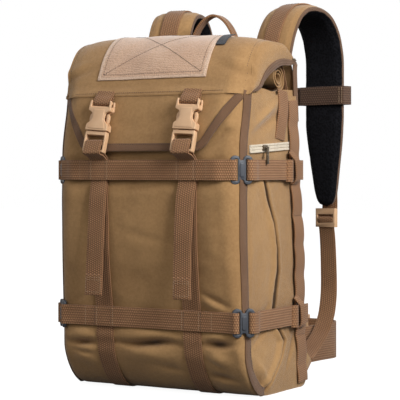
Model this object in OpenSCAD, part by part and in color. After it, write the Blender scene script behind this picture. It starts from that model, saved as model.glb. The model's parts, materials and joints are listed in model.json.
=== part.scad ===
// Roll-top hunting backpack with a buckled lid, lashing hooks and a webbing harness.
// Millimetres. +X is to the right of a viewer facing the lid buckles, -Y is the front,
// +Y the wearer's side and +Z up. The origin lies on the flat base.

/* [Bag] */
// Width across the two side panels
bag_width = 265; // [220:1:320]
// Height of the top edge of the front and side panels
body_height = 372; // [310:1:450]
// Distance from the origin to the fullest part of the front
front_reach = 85; // [75:1:110]
// Distance from the origin to the front at the lower belt
low_reach = 74; // [60:1:74]
// Distance from the origin to the front at the top edge
top_reach = 72; // [60:1:74]
// Height at which the rounded toe begins
toe_height = 78; // [60:1:90]
// Distance from the origin to the line where the toe meets the base
toe_end = 15; // [5:1:25]
// Distance from the origin to the back panel at the base
rear_reach = 104; // [95:1:125]
// How far the back panel leans forward from base to lid hinge
rear_lean = 34; // [10:1:45]
// Radius of the rear bottom edge
rear_round = 12; // [8:1:30]
// Thickness of the lined fabric walls
fabric = 2.4; // [1.6:0.1:4]
// Depth of the chamfered front corners at the fullest part
corner_cut = 23; // [16:1:30]

/* [Lid] */
// Height of the lid hinge over the body's top edge
hinge_rise = 64; // [56:1:72]
// Height of the lid's crown over the hinge
crown_rise = 9; // [6:1:14]
// How far the front flap hangs below the body's top edge
flap_drop = 72; // [55:1:90]
// Width of the flap along its lower edge
flap_low_width = 176; // [150:1:200]
// Width of the binding tape around the flap
binding_width = 9; // [6:1:12]
// Width of the loop patch
patch_width = 159; // [120:1:180]

/* [Webbing] */
// Width of the belts and straps
web = 25; // [20:1:25]
// Thickness of the belts and straps
web_t = 1.8; // [1.2:0.1:2.2]
// Distance between the two front straps
strap_spacing = 128; // [100:1:150]
// Distance of the middle belt's centre below the body's top edge
belt_drop = 94; // [90:1:110]
// Height of the lower belt's centre
low_belt_z = 94; // [80:1:110]
// Height of the strap tails' ends
tail_end_z = 121; // [112:1:160]

/* [Hardware] */
// Lean of the lid buckles from vertical, in degrees
buckle_lean = 13; // [10:1:16]
// Width of the side-release buckles
buckle_width = 32; // [30:1:38]
// Thickness of the side-release buckles
buckle_t = 11; // [10:0.5:12]
// Distance between the two bars of a lashing hook
hook_span = 21; // [18:1:26]
// Thickness of a lashing hook
hook_t = 4; // [3:0.5:5]

/* [Harness] */
// Width of a shoulder strap
shoulder_width = 62; // [52:1:75]
// Thickness of a shoulder strap
shoulder_t = 14; // [8:1:16]
// Distance between the shoulder straps' centres at the yoke
shoulder_spacing = 160; // [144:1:170]
// Outward turn of the shoulder straps, in degrees
shoulder_turn = 11; // [6:1:14]
// Width of the waist belt
waist_web = 50; // [38:1:50]
// Height of the waist belt's centre
waist_z = 42; // [38:1:60]
// How far the waist belt stands behind the origin
waist_reach = 288; // [250:1:300]

/* [Hidden] */
$fn = 48;

lid_t = 2.4;             // thickness of the lined lid
gap = 0.3;              // clearance between pieces that touch only lightly
half = bag_width / 2;
hinge_z = body_height + hinge_rise;
crown_z = hinge_z + crown_rise;
mid_belt_z = body_height - belt_drop;
flap_low_z = body_height - flap_drop;
corner_line = half + front_reach - corner_cut;  // x - y on the chamfer plane
side_front = -(corner_line - half);             // y of the side panel's front edge
rear_top = rear_reach - rear_lean;
khaki = [0.62, 0.49, 0.33];
webbing_brown = [0.46, 0.33, 0.24];
plastic_tan = [0.82, 0.68, 0.52];
plastic_dark = [0.22, 0.23, 0.25];
padding_black = [0.06, 0.06, 0.07];

// ---- outlines and bands -------------------------------------------------------------

function unit(v) = v / norm(v);
function turned(v) = [-v[1], v[0]];
// A path moved sideways by d, to its left, with mitred corners
function shifted(path, d) = let(n = len(path)) [for (i = [0:n - 1])
    let(a = turned(unit(path[max(i, 1)] - path[max(i, 1) - 1])),
        b = turned(unit(path[min(i + 1, n - 1)] - path[min(i, n - 2)])))
    path[i] + d * (a + b) / (1 + a * b)];
function reversed(path) = [for (i = [len(path) - 1:-1:0]) path[i]];
function band_outline(path, low, high) = concat(shifted(path, low), reversed(shifted(path, high)));
function lerp(a, b, t) = a + (b - a) * t;
// y of the back panel's outer face at height z
function back_y(z) = rear_reach - rear_lean * z / hinge_z;

// Stands a y-z outline across x, centred
module across(width) rotate([90, 0, 90]) linear_extrude(width, center = true) children();
// Stands an x-z outline along y
module along(length) rotate([90, 0, 0]) linear_extrude(length, center = true) children();
module strap_yz(path, width, thick) across(width) polygon(band_outline(path, -thick / 2, thick / 2));
module strap_xy(path, width, thick)
    linear_extrude(width, center = true) polygon(band_outline(path, -thick / 2, thick / 2));
module sides() { children(); mirror([1, 0, 0]) children(); }

toe_turn = [0:15:90];
// Front and base, from the top edge down, under the base and back to its rear
toe_path = [for (a = toe_turn) [-toe_end - (low_reach - toe_end) * cos(a), toe_height * (1 - sin(a))]];
full_top_z = body_height - 76;    // the front is at its fullest between these two heights
full_low_z = low_belt_z + 96;
low_top_z = low_belt_z + 18;      // and drawn in from here down to the toe
front_path = concat([[-top_reach, body_height], [-front_reach, full_top_z],
    [-front_reach, full_low_z], [-low_reach, low_top_z]], toe_path);
rear_path = concat([for (a = [0:22.5:90])
        [back_y(rear_round) - rear_round * (1 - sin(a)), rear_round * (1 - cos(a))]],
    [[back_y(hinge_z), hinge_z]]);
body_path = concat(front_path, rear_path);
side_low_z = toe_height * (1 - sqrt(1 - pow((-side_front - toe_end) / (low_reach - toe_end), 2)));
side_edge = concat([[side_front, body_height], [side_front, side_low_z]],
    [for (p = toe_path) if (p[0] > side_front + 4) p]);

// The bag's plan, drawn in by inset, with chamfered front corners
far = rear_reach + 36;            // well past the rear face, for cutting outlines
module plan(inset, height) let(h = half - inset, k = corner_line - inset * sqrt(2))
    translate([0, 0, -1]) linear_extrude(height)
        polygon([[-h, far], [-h, h - k], [-(k - far), -far], [k - far, -far], [h, h - k], [h, far]]);

module shell() difference() {
    intersection() { across(bag_width) polygon(body_path); plan(0, 2 * hinge_z); }
    intersection() {
        across(bag_width) polygon(concat([[-top_reach + fabric, hinge_z + 9]],
            shifted(body_path, fabric), [[rear_top - fabric, hinge_z + 9]]));
        plan(fabric, 2 * hinge_z);
    }
}
module block(low, high) translate(low) cube(high - low);
module below_edge() block([-half - 1, -front_reach - 1, -1], [half + 1, rear_reach + 1, body_height]);
inner_half = half - fabric;

module front_panel() color(khaki) intersection() {
    shell(); below_edge();
    block([-inner_half, -front_reach - 1, -1], [inner_half, -toe_end, body_height]);
}
module base_panel() color(khaki) intersection() {
    shell();
    block([-inner_half, -toe_end, -1], [inner_half, rear_reach, rear_round]);
}
module side_panel_right() color(khaki) intersection() {
    shell(); below_edge();
    block([inner_half, -front_reach - 1, -1], [half, rear_reach, body_height]);
}
module side_panel_left() mirror([1, 0, 0]) side_panel_right();
module back_panel() color(khaki) intersection() {
    shell();
    block([-inner_half, 0, rear_round], [inner_half, rear_reach, hinge_z - lid_t - gap]);
}

// ---- frame and pads -----------------------------------------------------------------

sheet_t = 1.5;
stay_t = 3;
pad_t = 12;
lumbar_t = 16;
yoke_t = 11;
yoke_low_z = body_height - 46;
yoke_high_z = body_height + 25;
pad_gap = 20;                     // between the two long pads
pad_width = 78;
pad_low_z = 100;
pad_x = (pad_width + pad_gap) / 2 + 9;
// A slab parallel to the back panel, between two heights and two offsets behind its face
module back_slab(width, low_z, high_z, low, high) across(width)
    polygon([[back_y(low_z) + low, low_z], [back_y(low_z) + high, low_z],
        [back_y(high_z) + high, high_z], [back_y(high_z) + low, high_z]]);
module frame_sheet() color(padding_black)
    back_slab(bag_width - 25, 30, body_height - 14, -fabric - gap - sheet_t, -fabric - gap);
module frame_stays() color("silver") for (x = [-60, 60]) translate([x, 0, 0])
    back_slab(20, 40, body_height - 22, -fabric - 2 * gap - sheet_t - stay_t, -fabric - 2 * gap - sheet_t);
module back_pads() color(padding_black) {
    for (x = [-pad_x, pad_x]) translate([x, 0, 0])
        back_slab(pad_width, pad_low_z, yoke_low_z - 8, 0, pad_t);
    back_slab(2 * (pad_x + 17), 26, pad_low_z - 8, 0, lumbar_t);
}
module yoke() color(khaki) back_slab(bag_width - 35, yoke_low_z, yoke_high_z, 0, yoke_t);

// ---- roll-top collar ----------------------------------------------------------------

collar_t = 1.6;
collar_low = body_height - 12;
collar_lip = body_height + 8;
roll_r = 17;
roll_y = 34;
roll_z = collar_lip + roll_r - 3;
roll_turns = 900;                 // degrees that the cloth is wound, two and a half turns
roll_pitch = 4.6;                 // distance between one turn and the next
// The rolled end of the collar, wound inwards
roll_path = [for (a = [0:20:roll_turns])
    (roll_r - roll_pitch * a / 360) * [cos(a - 90), sin(a - 90)] + [roll_y, roll_z]];
module roll_collar() color(khaki) union() {
    difference() {
        intersection() {
            plan(fabric + gap, 2 * hinge_z);
            block([-half, -top_reach + fabric + gap + 2, collar_low],
                [half, back_y(collar_lip) - fabric - gap, collar_lip]);
        }
        intersection() {
            plan(fabric + gap + collar_t, 2 * hinge_z);
            block([-half, -top_reach + fabric + gap + 2 + collar_t, 0],
                [half, back_y(collar_lip) - fabric - gap - collar_t, 2 * hinge_z]);
        }
    }
    across(bag_width - 12) polygon(band_outline(roll_path, 0, collar_t));
    across(bag_width - 12) polygon(band_outline(
        [[roll_y, roll_z - roll_r + collar_t / 2], [roll_y + 15, collar_lip],
            [back_y(collar_lip) - fabric - 1, collar_lip - 6]], -collar_t / 2, collar_t / 2));
}
module collar_straps() color(webbing_brown) sides() translate([half + gap + web_t / 2, 0, 0]) {
    across(web_t) polygon([[8, mid_belt_z + 40], [8 + web, mid_belt_z + 40],
        [18 + web, body_height + 4], [18, body_height + 4]]);
}

// ---- seams, belts and straps of the body ----------------------------------------------

module edge_bindings() color(webbing_brown) sides() translate([half + 0.6, 0, 0])
    across(1.2) polygon(band_outline(side_edge, 0, 12));

strap_face = -front_reach - 0.2;                 // the face that the base straps lie on
mid_belt_y = strap_face - 2 * web_t - 2 * gap - web_t / 2;
low_belt_y = -low_reach - 0.4 - web_t - web_t / 2;
bar_r = 1.7;
hole_r = bar_r + 1.2;
ring_r = hole_r + web_t;
ring_mid = (hole_r + ring_r) / 2;
// A hook's bar stands off the chamfered corner by its webbing loop and a clearance
function corner_bar(x) = [x, x - corner_line - (ring_r + gap) * sqrt(2)];
mid_hook = corner_bar(half - 9.5);
low_hook = corner_bar(half - 7.5);
function far_bar(p) = p + hook_span * [cos(45), sin(45)];

module ring(p) translate([p[0], p[1], 0]) difference() {
    cylinder(h = web, r = ring_r, center = true);
    cylinder(h = web + 2, r = hole_r, center = true);
}
// A belt that runs flat to 18 mm short of the hook's bar and then round the corner
module front_belt(y, p) let(bend = p[0] - 18, end = p[1] - ring_mid) union() {
    strap_xy([[-p[0], end], [-bend, y], [bend, y], [p[0], end]], web, web_t);
    ring(p);
    ring([-p[0], p[1]]);
}
module front_belt_mid() color(webbing_brown) translate([0, 0, mid_belt_z]) front_belt(mid_belt_y, mid_hook);
module front_belt_low() color(webbing_brown) translate([0, 0, low_belt_z]) front_belt(low_belt_y, low_hook);

side_belt_x = half + 2 * gap + 2 * web_t;
module side_belt(p, z) let(q = far_bar(p)) translate([0, 0, z]) union() {
    ring(q);
    strap_xy([[q[0] + ring_mid, q[1]], [q[0] + ring_mid - 0.3, q[1] + 10],
        [side_belt_x, q[1] + 24], [side_belt_x, back_y(z) - 16]], web, web_t);
}
module side_belts_right() color(webbing_brown) {
    side_belt(mid_hook, mid_belt_z);
    side_belt(low_hook, low_belt_z);
}
module side_belts_left() mirror([1, 0, 0]) side_belts_right();

strap_top_z = mid_belt_z + web / 2 + 0.7;
module on_straps() for (x = [-1, 1]) translate([x * strap_spacing / 2, 0, 0]) children();
base_strap_path = concat([[-front_reach, strap_top_z], [-front_reach, full_low_z],
    [-low_reach, low_top_z]], [for (i = [0:4]) toe_path[i]]);
module base_straps() color(webbing_brown) on_straps()
    across(web) polygon(band_outline(base_strap_path, -0.2 - web_t, -0.2));
tail_y = strap_face - web_t - 0.2 - web_t / 2;
module strap_tails() color(webbing_brown) on_straps() strap_yz([[tail_y, strap_top_z],
    [tail_y, mid_belt_z - web / 2 - 2], [tail_y - 5, mid_belt_z - 35], [tail_y - 9, mid_belt_z - 80],
    [tail_y - 11, tail_end_z + 30], [tail_y - 12, tail_end_z]], web, web_t);
module side_webbing() color(webbing_brown) sides() translate([half + gap + web_t / 2, 0, 0])
    across(web_t) let(a = 30, b = body_height - 6) polygon([[back_y(a) - 6 - web, a], [back_y(a) - 6, a],
        [back_y(b) - 6, b], [back_y(b) - 6 - web, b]]);
zip_z = mid_belt_z + 26;
zip_w = 12;
zip_t = 1.2;
zip_front = side_front + 14;
zip_rear = 46;
zip_rise = 4;                     // how much higher the zip is at its rear end
module zip_tapes() color("ivory") sides() translate([half + gap + zip_t / 2, 0, 0])
    across(zip_t) polygon([[zip_front, zip_z - zip_w / 2], [zip_rear, zip_z - zip_w / 2 + zip_rise],
        [zip_rear, zip_z + zip_w / 2 + zip_rise], [zip_front, zip_z + zip_w / 2]]);
anchor_tip = [rear_reach + 18, 30];
anchor_x = half - 4 - web / 2;
module corner_anchors() color(webbing_brown) sides() translate([anchor_x, 0, 0]) across(web)
    polygon([[back_y(48) + gap, 48], [back_y(rear_round) + gap, rear_round],
        [anchor_tip[0], anchor_tip[1] - 2], [anchor_tip[0], anchor_tip[1] + 2]]);

// ---- lid ------------------------------------------------------------------------------

seam_z = body_height - 2;
seam_y = -top_reach - 5.4;
flap_t = 2;
flap_low_y = -front_reach - 3.4;
shoulder_of_lid = [-67, crown_z - 52];
lid_front = [[0, crown_z], [-20, crown_z - 1], [-38, crown_z - 9], [-54, crown_z - 27], shoulder_of_lid];
lid_path = concat([[rear_top + 2, hinge_z], [rear_top - 4, hinge_z + 5], [40, crown_z - 1]],
    lid_front, [[seam_y, seam_z]]);
flap_path = [[seam_y, seam_z - 2 * gap], [flap_low_y, flap_low_z]];
flap_top_half = half - 1.5;
flap_low_half = flap_low_width / 2;
lid_half = half + 0.8;

// The flap's outline drawn in by inset, with slanted sides
module flap_front(inset) along(2 * far) let(slope = (flap_top_half - flap_low_half) / (seam_z - flap_low_z),
        side = inset * sqrt(1 + slope * slope), low = flap_low_half - side + slope * inset,
        top = flap_top_half - side)
    polygon([[-low, flap_low_z + inset], [low, flap_low_z + inset], [top, seam_z + 0.1], [-top, seam_z + 0.1]]);
gusset_low = [[seam_y + 8, seam_z + 5], [-34, seam_z + 6], [-23, seam_z + 18], [-5, seam_z + 28],
    [17, seam_z + 38], [rear_top - 12, seam_z + 41]];
module lid_gusset() translate([lid_half - lid_t / 2, 0, 0]) across(lid_t)
    polygon(concat(lid_path, gusset_low));
module lid_top() color(khaki) union() {
    across(2 * lid_half) polygon(band_outline(lid_path, 0, lid_t));
    sides() lid_gusset();
}
module lid_flap() color(khaki) intersection() {
    across(bag_width) polygon(band_outline(flap_path, 0, flap_t));
    flap_front(0);
}
module lid_binding() color(webbing_brown) intersection() {
    across(bag_width) polygon(band_outline(flap_path, -1, 0));
    difference() { flap_front(0); flap_front(binding_width); }
}
patch_t = 1.2;
tag_width = 18;
module loop_patch() color([0.76, 0.62, 0.5]) across(patch_width)
    polygon(band_outline(concat(lid_front, [lerp(shoulder_of_lid, [seam_y, seam_z], 0.3)]), -patch_t, 0));
tag_y = [26, 12];
function lid_z(y) = crown_z - y / 40;
module lid_tag() color(plastic_dark) translate([patch_width / 2 - 9, 0, 0]) across(tag_width)
    polygon(band_outline([for (y = tag_y) [y, lid_z(y)]], -patch_t, 0));

// ---- lid buckles ----------------------------------------------------------------------

// Local frame of a buckle: z runs down its length from the top of the female half, y inwards
buckle_top = [seam_y - 7.1, body_height - 8];
module buckle_frame(side) translate([side * strap_spacing / 2, buckle_top[0], buckle_top[1]])
    rotate([180 - buckle_lean, 0, 0]) children();
// y-z point at distance l down the buckle and n towards the bag
function on_buckle(l, n) = buckle_top + l * [-sin(buckle_lean), -cos(buckle_lean)]
    + n * [cos(buckle_lean), -sin(buckle_lean)];
tab_bar = 2;
female_low = 38;
male_top = 40;
lock_bar = 54;
male_low = 66;
prong_top = 20;
arm_in = web / 2 + 0.5;           // inner face of the arms beside the webbing tab
module bar(l, r) translate([0, 0, l]) rotate([0, 90, 0]) cylinder(h = buckle_width - 2, r = r, center = true);
module slab(w, t, low, high) translate([-w / 2, -t / 2, low]) cube([w, t, high - low]);

module buckle_female(side) color(plastic_tan) buckle_frame(side) difference() {
    union() {
        slab(buckle_width, buckle_t, 8, female_low);
        for (s = [-1, 1]) translate([s * (buckle_width / 2 + arm_in) / 2, 0, 0])
            slab(buckle_width / 2 - arm_in, 5, 0, 9);
        bar(tab_bar, bar_r);
    }
    slab(buckle_width - 5, buckle_t - 4, 12, female_low + 1);
    for (s = [-1, 1]) translate([s * buckle_width / 2, 0, 0]) slab(9, buckle_t - 5, 14, 28);
    translate([0, buckle_t / 2 - 2, 0]) slab(9, 8, 17, 27);
}
module buckle_female_left() buckle_female(-1);
module buckle_female_right() buckle_female(1);

module buckle_male(side) color(plastic_tan) buckle_frame(side) union() {
    difference() {
        slab(buckle_width, 7, male_top, male_low);
        slab(web + 1.5, 9, lock_bar - ring_r - gap, lock_bar + ring_r + gap);
    }
    bar(lock_bar, bar_r);
    for (s = [-1, 1]) translate([s * 10.5, 0, 0]) slab(3.5, 4, prong_top, male_top + 1);
    slab(3, 3.4, prong_top + 4, male_top + 1);
}
module buckle_male_left() buckle_male(-1);
module buckle_male_right() buckle_male(1);

module loop_ring(p, width) translate([0, p[0], p[1]]) rotate([0, 90, 0]) difference() {
    cylinder(h = width, r = ring_r, center = true);
    cylinder(h = width + 2, r = hole_r, center = true);
}
module buckle_tabs() color(webbing_brown) on_straps() union() {
    loop_ring(on_buckle(tab_bar, 0), web);
    strap_yz([[seam_y - 0.5, seam_z + 5], [seam_y - 2.4, seam_z - 2], on_buckle(tab_bar, ring_mid)],
        web, web_t);
}
module ladder_strap(side) color(webbing_brown) translate([side * strap_spacing / 2, 0, 0]) union() {
    loop_ring(on_buckle(lock_bar, 0), web);
    strap_yz([[strap_face - web_t / 2, strap_top_z + 1], on_buckle(male_low, 6.2),
        on_buckle(lock_bar + ring_r - 1, 5.4), on_buckle(lock_bar, ring_mid)], web, web_t);
    strap_yz([on_buckle(lock_bar, -ring_mid), on_buckle(lock_bar + ring_r - 1, -5.4), on_buckle(male_low + 2, -6.4),
        [tail_y - 8, strap_top_z + 5], [tail_y, strap_top_z + 1.2]], web, web_t);
}
module ladder_strap_left() ladder_strap(-1);
module ladder_strap_right() ladder_strap(1);

// ---- lashing hooks --------------------------------------------------------------------

bar_half = web / 2 + 0.5;
post = 2.6;
slot_end = ring_r + gap;
// Hook lying along its local x from its first bar, z up, y through its thickness
module hook_body() rotate([90, 0, 0]) linear_extrude(hook_t, center = true) difference() {
    union() {
        translate([-bar_r, -bar_half - post]) square([slot_end + bar_r + 3, 2 * (bar_half + post)]);
        translate([slot_end, -8]) square([hook_span - 2 * slot_end, 16]);
        translate([hook_span - slot_end - 3, -bar_half - post])
            square([slot_end + bar_r + 3, 2 * (bar_half + post)]);
    }
    translate([bar_r, -bar_half]) square([slot_end - bar_r, 2 * bar_half]);
    translate([hook_span - slot_end, -bar_half]) square([slot_end - bar_r, 2 * bar_half]);
}
module hook(p, z) color(plastic_dark) translate([p[0], p[1], z]) rotate([0, 0, 45]) hook_body();
module hook_mid_right() hook(mid_hook, mid_belt_z);
module hook_mid_left() mirror([1, 0, 0]) hook_mid_right();
module hook_low_right() hook(low_hook, low_belt_z);
module hook_low_left() mirror([1, 0, 0]) hook_low_right();

// ---- zips and handle --------------------------------------------------------------------

slider_y = -22;
slider_t = 3;
pull_l = 20;
slider_x = half + gap + zip_t + gap;
slider_z = zip_z + zip_rise * (slider_y - zip_front) / (zip_rear - zip_front);
module zip_slider_right() color("dimgray") translate([slider_x, slider_y, slider_z]) union() {
    translate([0, -5, -3.5]) cube([slider_t, 10, 7]);
    for (s = [-1, 1]) translate([slider_t - 0.5, s * 3 - 1, -1]) cube([2.3, 2, 2]);
    translate([slider_t + 2, 0, 0]) rotate([90, 0, 0]) cylinder(h = 8, r = 0.8, center = true);
}
module zip_slider_left() mirror([1, 0, 0]) zip_slider_right();
module zip_pull_right() color("dimgray") translate([slider_x + slider_t + 2, slider_y, slider_z]) difference() {
    translate([-0.7, -2, -pull_l]) cube([2.4, 4, pull_l + 1.5]);
    rotate([90, 0, 0]) cylinder(h = 6, r = 1.1, center = true);
    translate([-2, -1.6, -4]) cube([1.2, 3.2, 6]);
}
module zip_pull_left() mirror([1, 0, 0]) zip_pull_right();

handle_w = 16;
handle_y = rear_top + 14.6 + handle_w / 2;
handle_low = body_height + 21;
handle_side = body_height + 48;
handle_neck = body_height + 73;
handle_high = body_height + 112;
handle_half = 36;
half_handle = [[handle_half - 4, handle_low], [handle_half, handle_side], [handle_half - 4, handle_neck],
    [handle_half - 16, handle_high - 12], [0, handle_high]];
handle_path = concat(half_handle, [for (i = [3:-1:0]) [-half_handle[i][0], half_handle[i][1]]]);
module haul_handle() color(webbing_brown) translate([0, handle_y, 0])
    along(handle_w) polygon(band_outline(handle_path, -1.6, 1.6));

// ---- shoulder harness -------------------------------------------------------------------

shoulder_root_z = body_height + 6;
shoulder_root_y = back_y(shoulder_root_z) + yoke_t + gap
    + shoulder_width / 2 * sin(shoulder_turn) + shoulder_t / 2 / cos(shoulder_turn);
shoulder_y = 218;
shoulder_low_z = 226;
shoulder_path = [[shoulder_root_y, shoulder_root_z], [shoulder_root_y + 1, body_height + 28],
    [shoulder_root_y + 4, body_height + 52], [111, 452], [123, 474], [138, 487], [156, 491], [176, 489],
    [194, 480], [207, 464], [214, 446], [shoulder_y, 426], [shoulder_y, 330], [shoulder_y + 2, 280],
    [shoulder_y + 4, shoulder_low_z]];
// Plan position of a point of a shoulder strap's frame, which turns outwards about its root
function in_shoulder(x, y) = [shoulder_spacing / 2, shoulder_root_y]
    + [x * cos(shoulder_turn) + (y - shoulder_root_y) * sin(shoulder_turn),
        -x * sin(shoulder_turn) + (y - shoulder_root_y) * cos(shoulder_turn)];
module shoulder_frame(side) translate([side * shoulder_spacing / 2, shoulder_root_y, 0])
    rotate([0, 0, -side * shoulder_turn]) translate([0, -shoulder_root_y, 0]) children();
module shoulder_strap(side) color(padding_black) shoulder_frame(side)
    strap_yz(shoulder_path, shoulder_width, shoulder_t);
module shoulder_strap_left() shoulder_strap(-1);
module shoulder_strap_right() shoulder_strap(1);
outer = shoulder_t / 2;
module shoulder_webbing(side) color(webbing_brown) shoulder_frame(side) across(web)
    polygon(band_outline([for (i = [1:len(shoulder_path) - 1]) shoulder_path[i]], outer, outer + web_t));
module shoulder_webbing_left() shoulder_webbing(-1);
module shoulder_webbing_right() shoulder_webbing(1);
lock_z = shoulder_low_z - 14;
lock_y = shoulder_y + 4;
lock_half = web / 2 + 0.5;
module ladder_lock(side) color(plastic_tan) shoulder_frame(side) translate([0, lock_y, lock_z]) union() {
    difference() {
        translate([-lock_half - 3, -3.5, -12]) cube([2 * lock_half + 6, 7, 25.5]);
        translate([-lock_half, -5, -5.5]) cube([2 * lock_half, 10, 11]);
    }
    rotate([0, 90, 0]) cylinder(h = 2 * lock_half + 4, r = bar_r, center = true);
}
module ladder_lock_left() ladder_lock(-1);
module ladder_lock_right() ladder_lock(1);
lower_top = in_shoulder(0, lock_y);
lower_path = [[lower_top[1], lock_z - 14.5], [lower_top[1] - 1, 170], [212, 120], [196, 84], [172, 58],
    [146, 42], anchor_tip + [0.4, 0]];
module lower_strap(side) let(lean = atan((anchor_x - lower_top[0]) / (lock_z - anchor_tip[1])))
    color(webbing_brown) translate([side * lower_top[0], 0, lock_z])
        rotate([0, -side * lean, 0]) translate([0, 0, -lock_z]) strap_yz(lower_path, web, web_t);
module lower_strap_left() lower_strap(-1);
module lower_strap_right() lower_strap(1);

sternum_z = 379;
sternum_half = shoulder_width / 2 + 5;
sternum_in = shoulder_y - outer - 0.7;
sternum_out = shoulder_y + outer + web_t + 0.8;
cross_end = in_shoulder(-sternum_half - web_t / 2, sternum_in + 4);
module band_plan() difference() {
    translate([-sternum_half - web_t, sternum_in - web_t])
        square([2 * (sternum_half + web_t), sternum_out - sternum_in + 2 * web_t]);
    translate([-sternum_half, sternum_in]) square([2 * sternum_half, sternum_out - sternum_in]);
}
module sternum_strap() color(webbing_brown) translate([0, 0, sternum_z - web / 2]) linear_extrude(web) union() {
    for (side = [-1, 1]) shoulder_frame(side) band_plan();
    translate([-cross_end[0], cross_end[1] - web_t / 2]) square([2 * cross_end[0], web_t]);
}
clasp_t = 7;
module sternum_buckle() color(plastic_tan)
    translate([0, cross_end[1] - web_t / 2 - 0.1 - clasp_t / 2, sternum_z]) union() {
        cube([48, clasp_t, web + 5], center = true);
        for (s = [-1, 1]) translate([s * 29, 0, 0]) difference() {
            cube([12, clasp_t - 1, web + 5], center = true);
            cube([6, clasp_t + 1, web - 3], center = true);
        }
    }

// ---- waist belt -------------------------------------------------------------------------

waist_t = 2.2;
waist_root = [86, back_y(waist_z - waist_web / 2) + gap];
waist_x = 99;
waist_free = 30;
waist_corner = 62;
waist_path = [waist_root, [90, 150], [96, 190], [waist_x, waist_reach - 38], [waist_x - 4, waist_reach - 22],
    [88, waist_reach - 10], [76, waist_reach - 2], [waist_corner, waist_reach], [waist_free, waist_reach]];
module waist_belt_right() color(webbing_brown) translate([0, 0, waist_z])
    strap_xy(waist_path, waist_web, waist_t);
module waist_belt_left() mirror([1, 0, 0]) waist_belt_right();
module waist_female() color(plastic_tan) translate([0, waist_reach, waist_z]) difference() {
    union() {
        translate([-34, -7, -waist_web / 2 - 5]) cube([34, 14, waist_web + 10]);
        translate([-46, -4, -waist_web / 2 - 5]) cube([13, 8, waist_web + 10]);
    }
    translate([-26, -4.4, -waist_web / 2 - 2]) cube([30, 8.8, waist_web + 4]);
    translate([-50, -1.6, -waist_web / 2 - 0.5]) cube([21, 3.2, waist_web + 1]);
}
module waist_male() color(plastic_tan) translate([0, waist_reach, waist_z]) difference() {
    union() {
        translate([1, -4, -waist_web / 2 - 5]) cube([42, 8, waist_web + 10]);
        for (s = [-1, 1]) translate([-15, -3, s * 18 - 4]) cube([18, 6, 8]);
        translate([-12, -2.4, -3]) cube([16, 4.8, 6]);
    }
    translate([12, -1.6, -waist_web / 2 - 0.5]) cube([40, 3.2, waist_web + 1]);
}

front_panel();
base_panel();
side_panel_left();
side_panel_right();
back_panel();
frame_sheet();
frame_stays();
back_pads();
yoke();
roll_collar();
edge_bindings();
front_belt_mid();
front_belt_low();
side_belts_left();
side_belts_right();
base_straps();
strap_tails();
side_webbing();
collar_straps();
zip_tapes();
corner_anchors();
lid_top();
lid_flap();
lid_binding();
loop_patch();
lid_tag();
buckle_tabs();
buckle_female_left();
buckle_female_right();
buckle_male_left();
buckle_male_right();
ladder_strap_left();
ladder_strap_right();
hook_mid_left();
hook_mid_right();
hook_low_left();
hook_low_right();
zip_slider_left();
zip_slider_right();
zip_pull_left();
zip_pull_right();
haul_handle();
shoulder_strap_left();
shoulder_strap_right();
shoulder_webbing_left();
shoulder_webbing_right();
ladder_lock_left();
ladder_lock_right();
lower_strap_left();
lower_strap_right();
sternum_strap();
sternum_buckle();
waist_belt_left();
waist_belt_right();
waist_female();
waist_male();
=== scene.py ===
import json
import math
import bpy
import numpy as np
from mathutils import Matrix, Vector, noise

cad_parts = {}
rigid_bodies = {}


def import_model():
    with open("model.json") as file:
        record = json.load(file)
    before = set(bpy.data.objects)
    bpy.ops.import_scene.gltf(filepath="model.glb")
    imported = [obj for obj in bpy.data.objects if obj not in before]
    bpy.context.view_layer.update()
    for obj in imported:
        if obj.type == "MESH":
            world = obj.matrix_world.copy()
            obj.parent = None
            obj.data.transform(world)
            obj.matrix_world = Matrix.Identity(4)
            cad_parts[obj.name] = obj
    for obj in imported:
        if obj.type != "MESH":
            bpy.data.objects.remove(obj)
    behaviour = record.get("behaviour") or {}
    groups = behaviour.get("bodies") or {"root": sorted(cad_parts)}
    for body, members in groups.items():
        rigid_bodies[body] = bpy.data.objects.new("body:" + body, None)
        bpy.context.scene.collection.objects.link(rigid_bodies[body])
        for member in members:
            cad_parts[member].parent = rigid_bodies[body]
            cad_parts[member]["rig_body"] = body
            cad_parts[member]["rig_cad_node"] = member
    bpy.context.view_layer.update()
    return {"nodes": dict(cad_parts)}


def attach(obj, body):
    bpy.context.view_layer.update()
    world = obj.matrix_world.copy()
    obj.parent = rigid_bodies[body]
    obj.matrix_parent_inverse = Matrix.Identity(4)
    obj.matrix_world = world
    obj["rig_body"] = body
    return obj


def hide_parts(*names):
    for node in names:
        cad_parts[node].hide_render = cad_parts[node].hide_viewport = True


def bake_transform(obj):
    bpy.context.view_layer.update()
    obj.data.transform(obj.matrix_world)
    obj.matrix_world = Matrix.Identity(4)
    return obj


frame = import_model()
mm = 0.001
deg = math.radians
sides = ((1, "Right"), (-1, "Left"))
acrossX, acrossY, acrossZ = (1, 0, 0), (0, 1, 0), (0, 0, 1)
print("frame loaded")


def clearSelection():
    if bpy.context.object and bpy.context.object.mode != "OBJECT":
        bpy.ops.object.mode_set(mode="OBJECT")
    bpy.ops.object.select_all(action="DESELECT")


def selectOnly(piece):
    clearSelection()
    bpy.context.view_layer.objects.active = piece
    piece.select_set(True)


def smoothStep(a, b, x):
    t = min(max((x - a) / (b - a), 0.0), 1.0)
    return t * t * (3 - 2 * t)


def hump(x, middle, spread):
    return math.exp(-((x - middle) / spread) ** 2)


def wander(x, y, z, size, seed=0.0):  # soft noise from -1 to 1, size in millimetres
    return noise.noise(Vector((x / size + seed, y / size - seed, z / size + 2 * seed)))


def inSteps(a, b, steps):  # from a to b in even steps
    return [tuple(p + (q - p) * t / steps for p, q in zip(a, b)) for t in range(steps + 1)]


def inYz(x, route):
    return [(x, y, z) for y, z in route]


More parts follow.
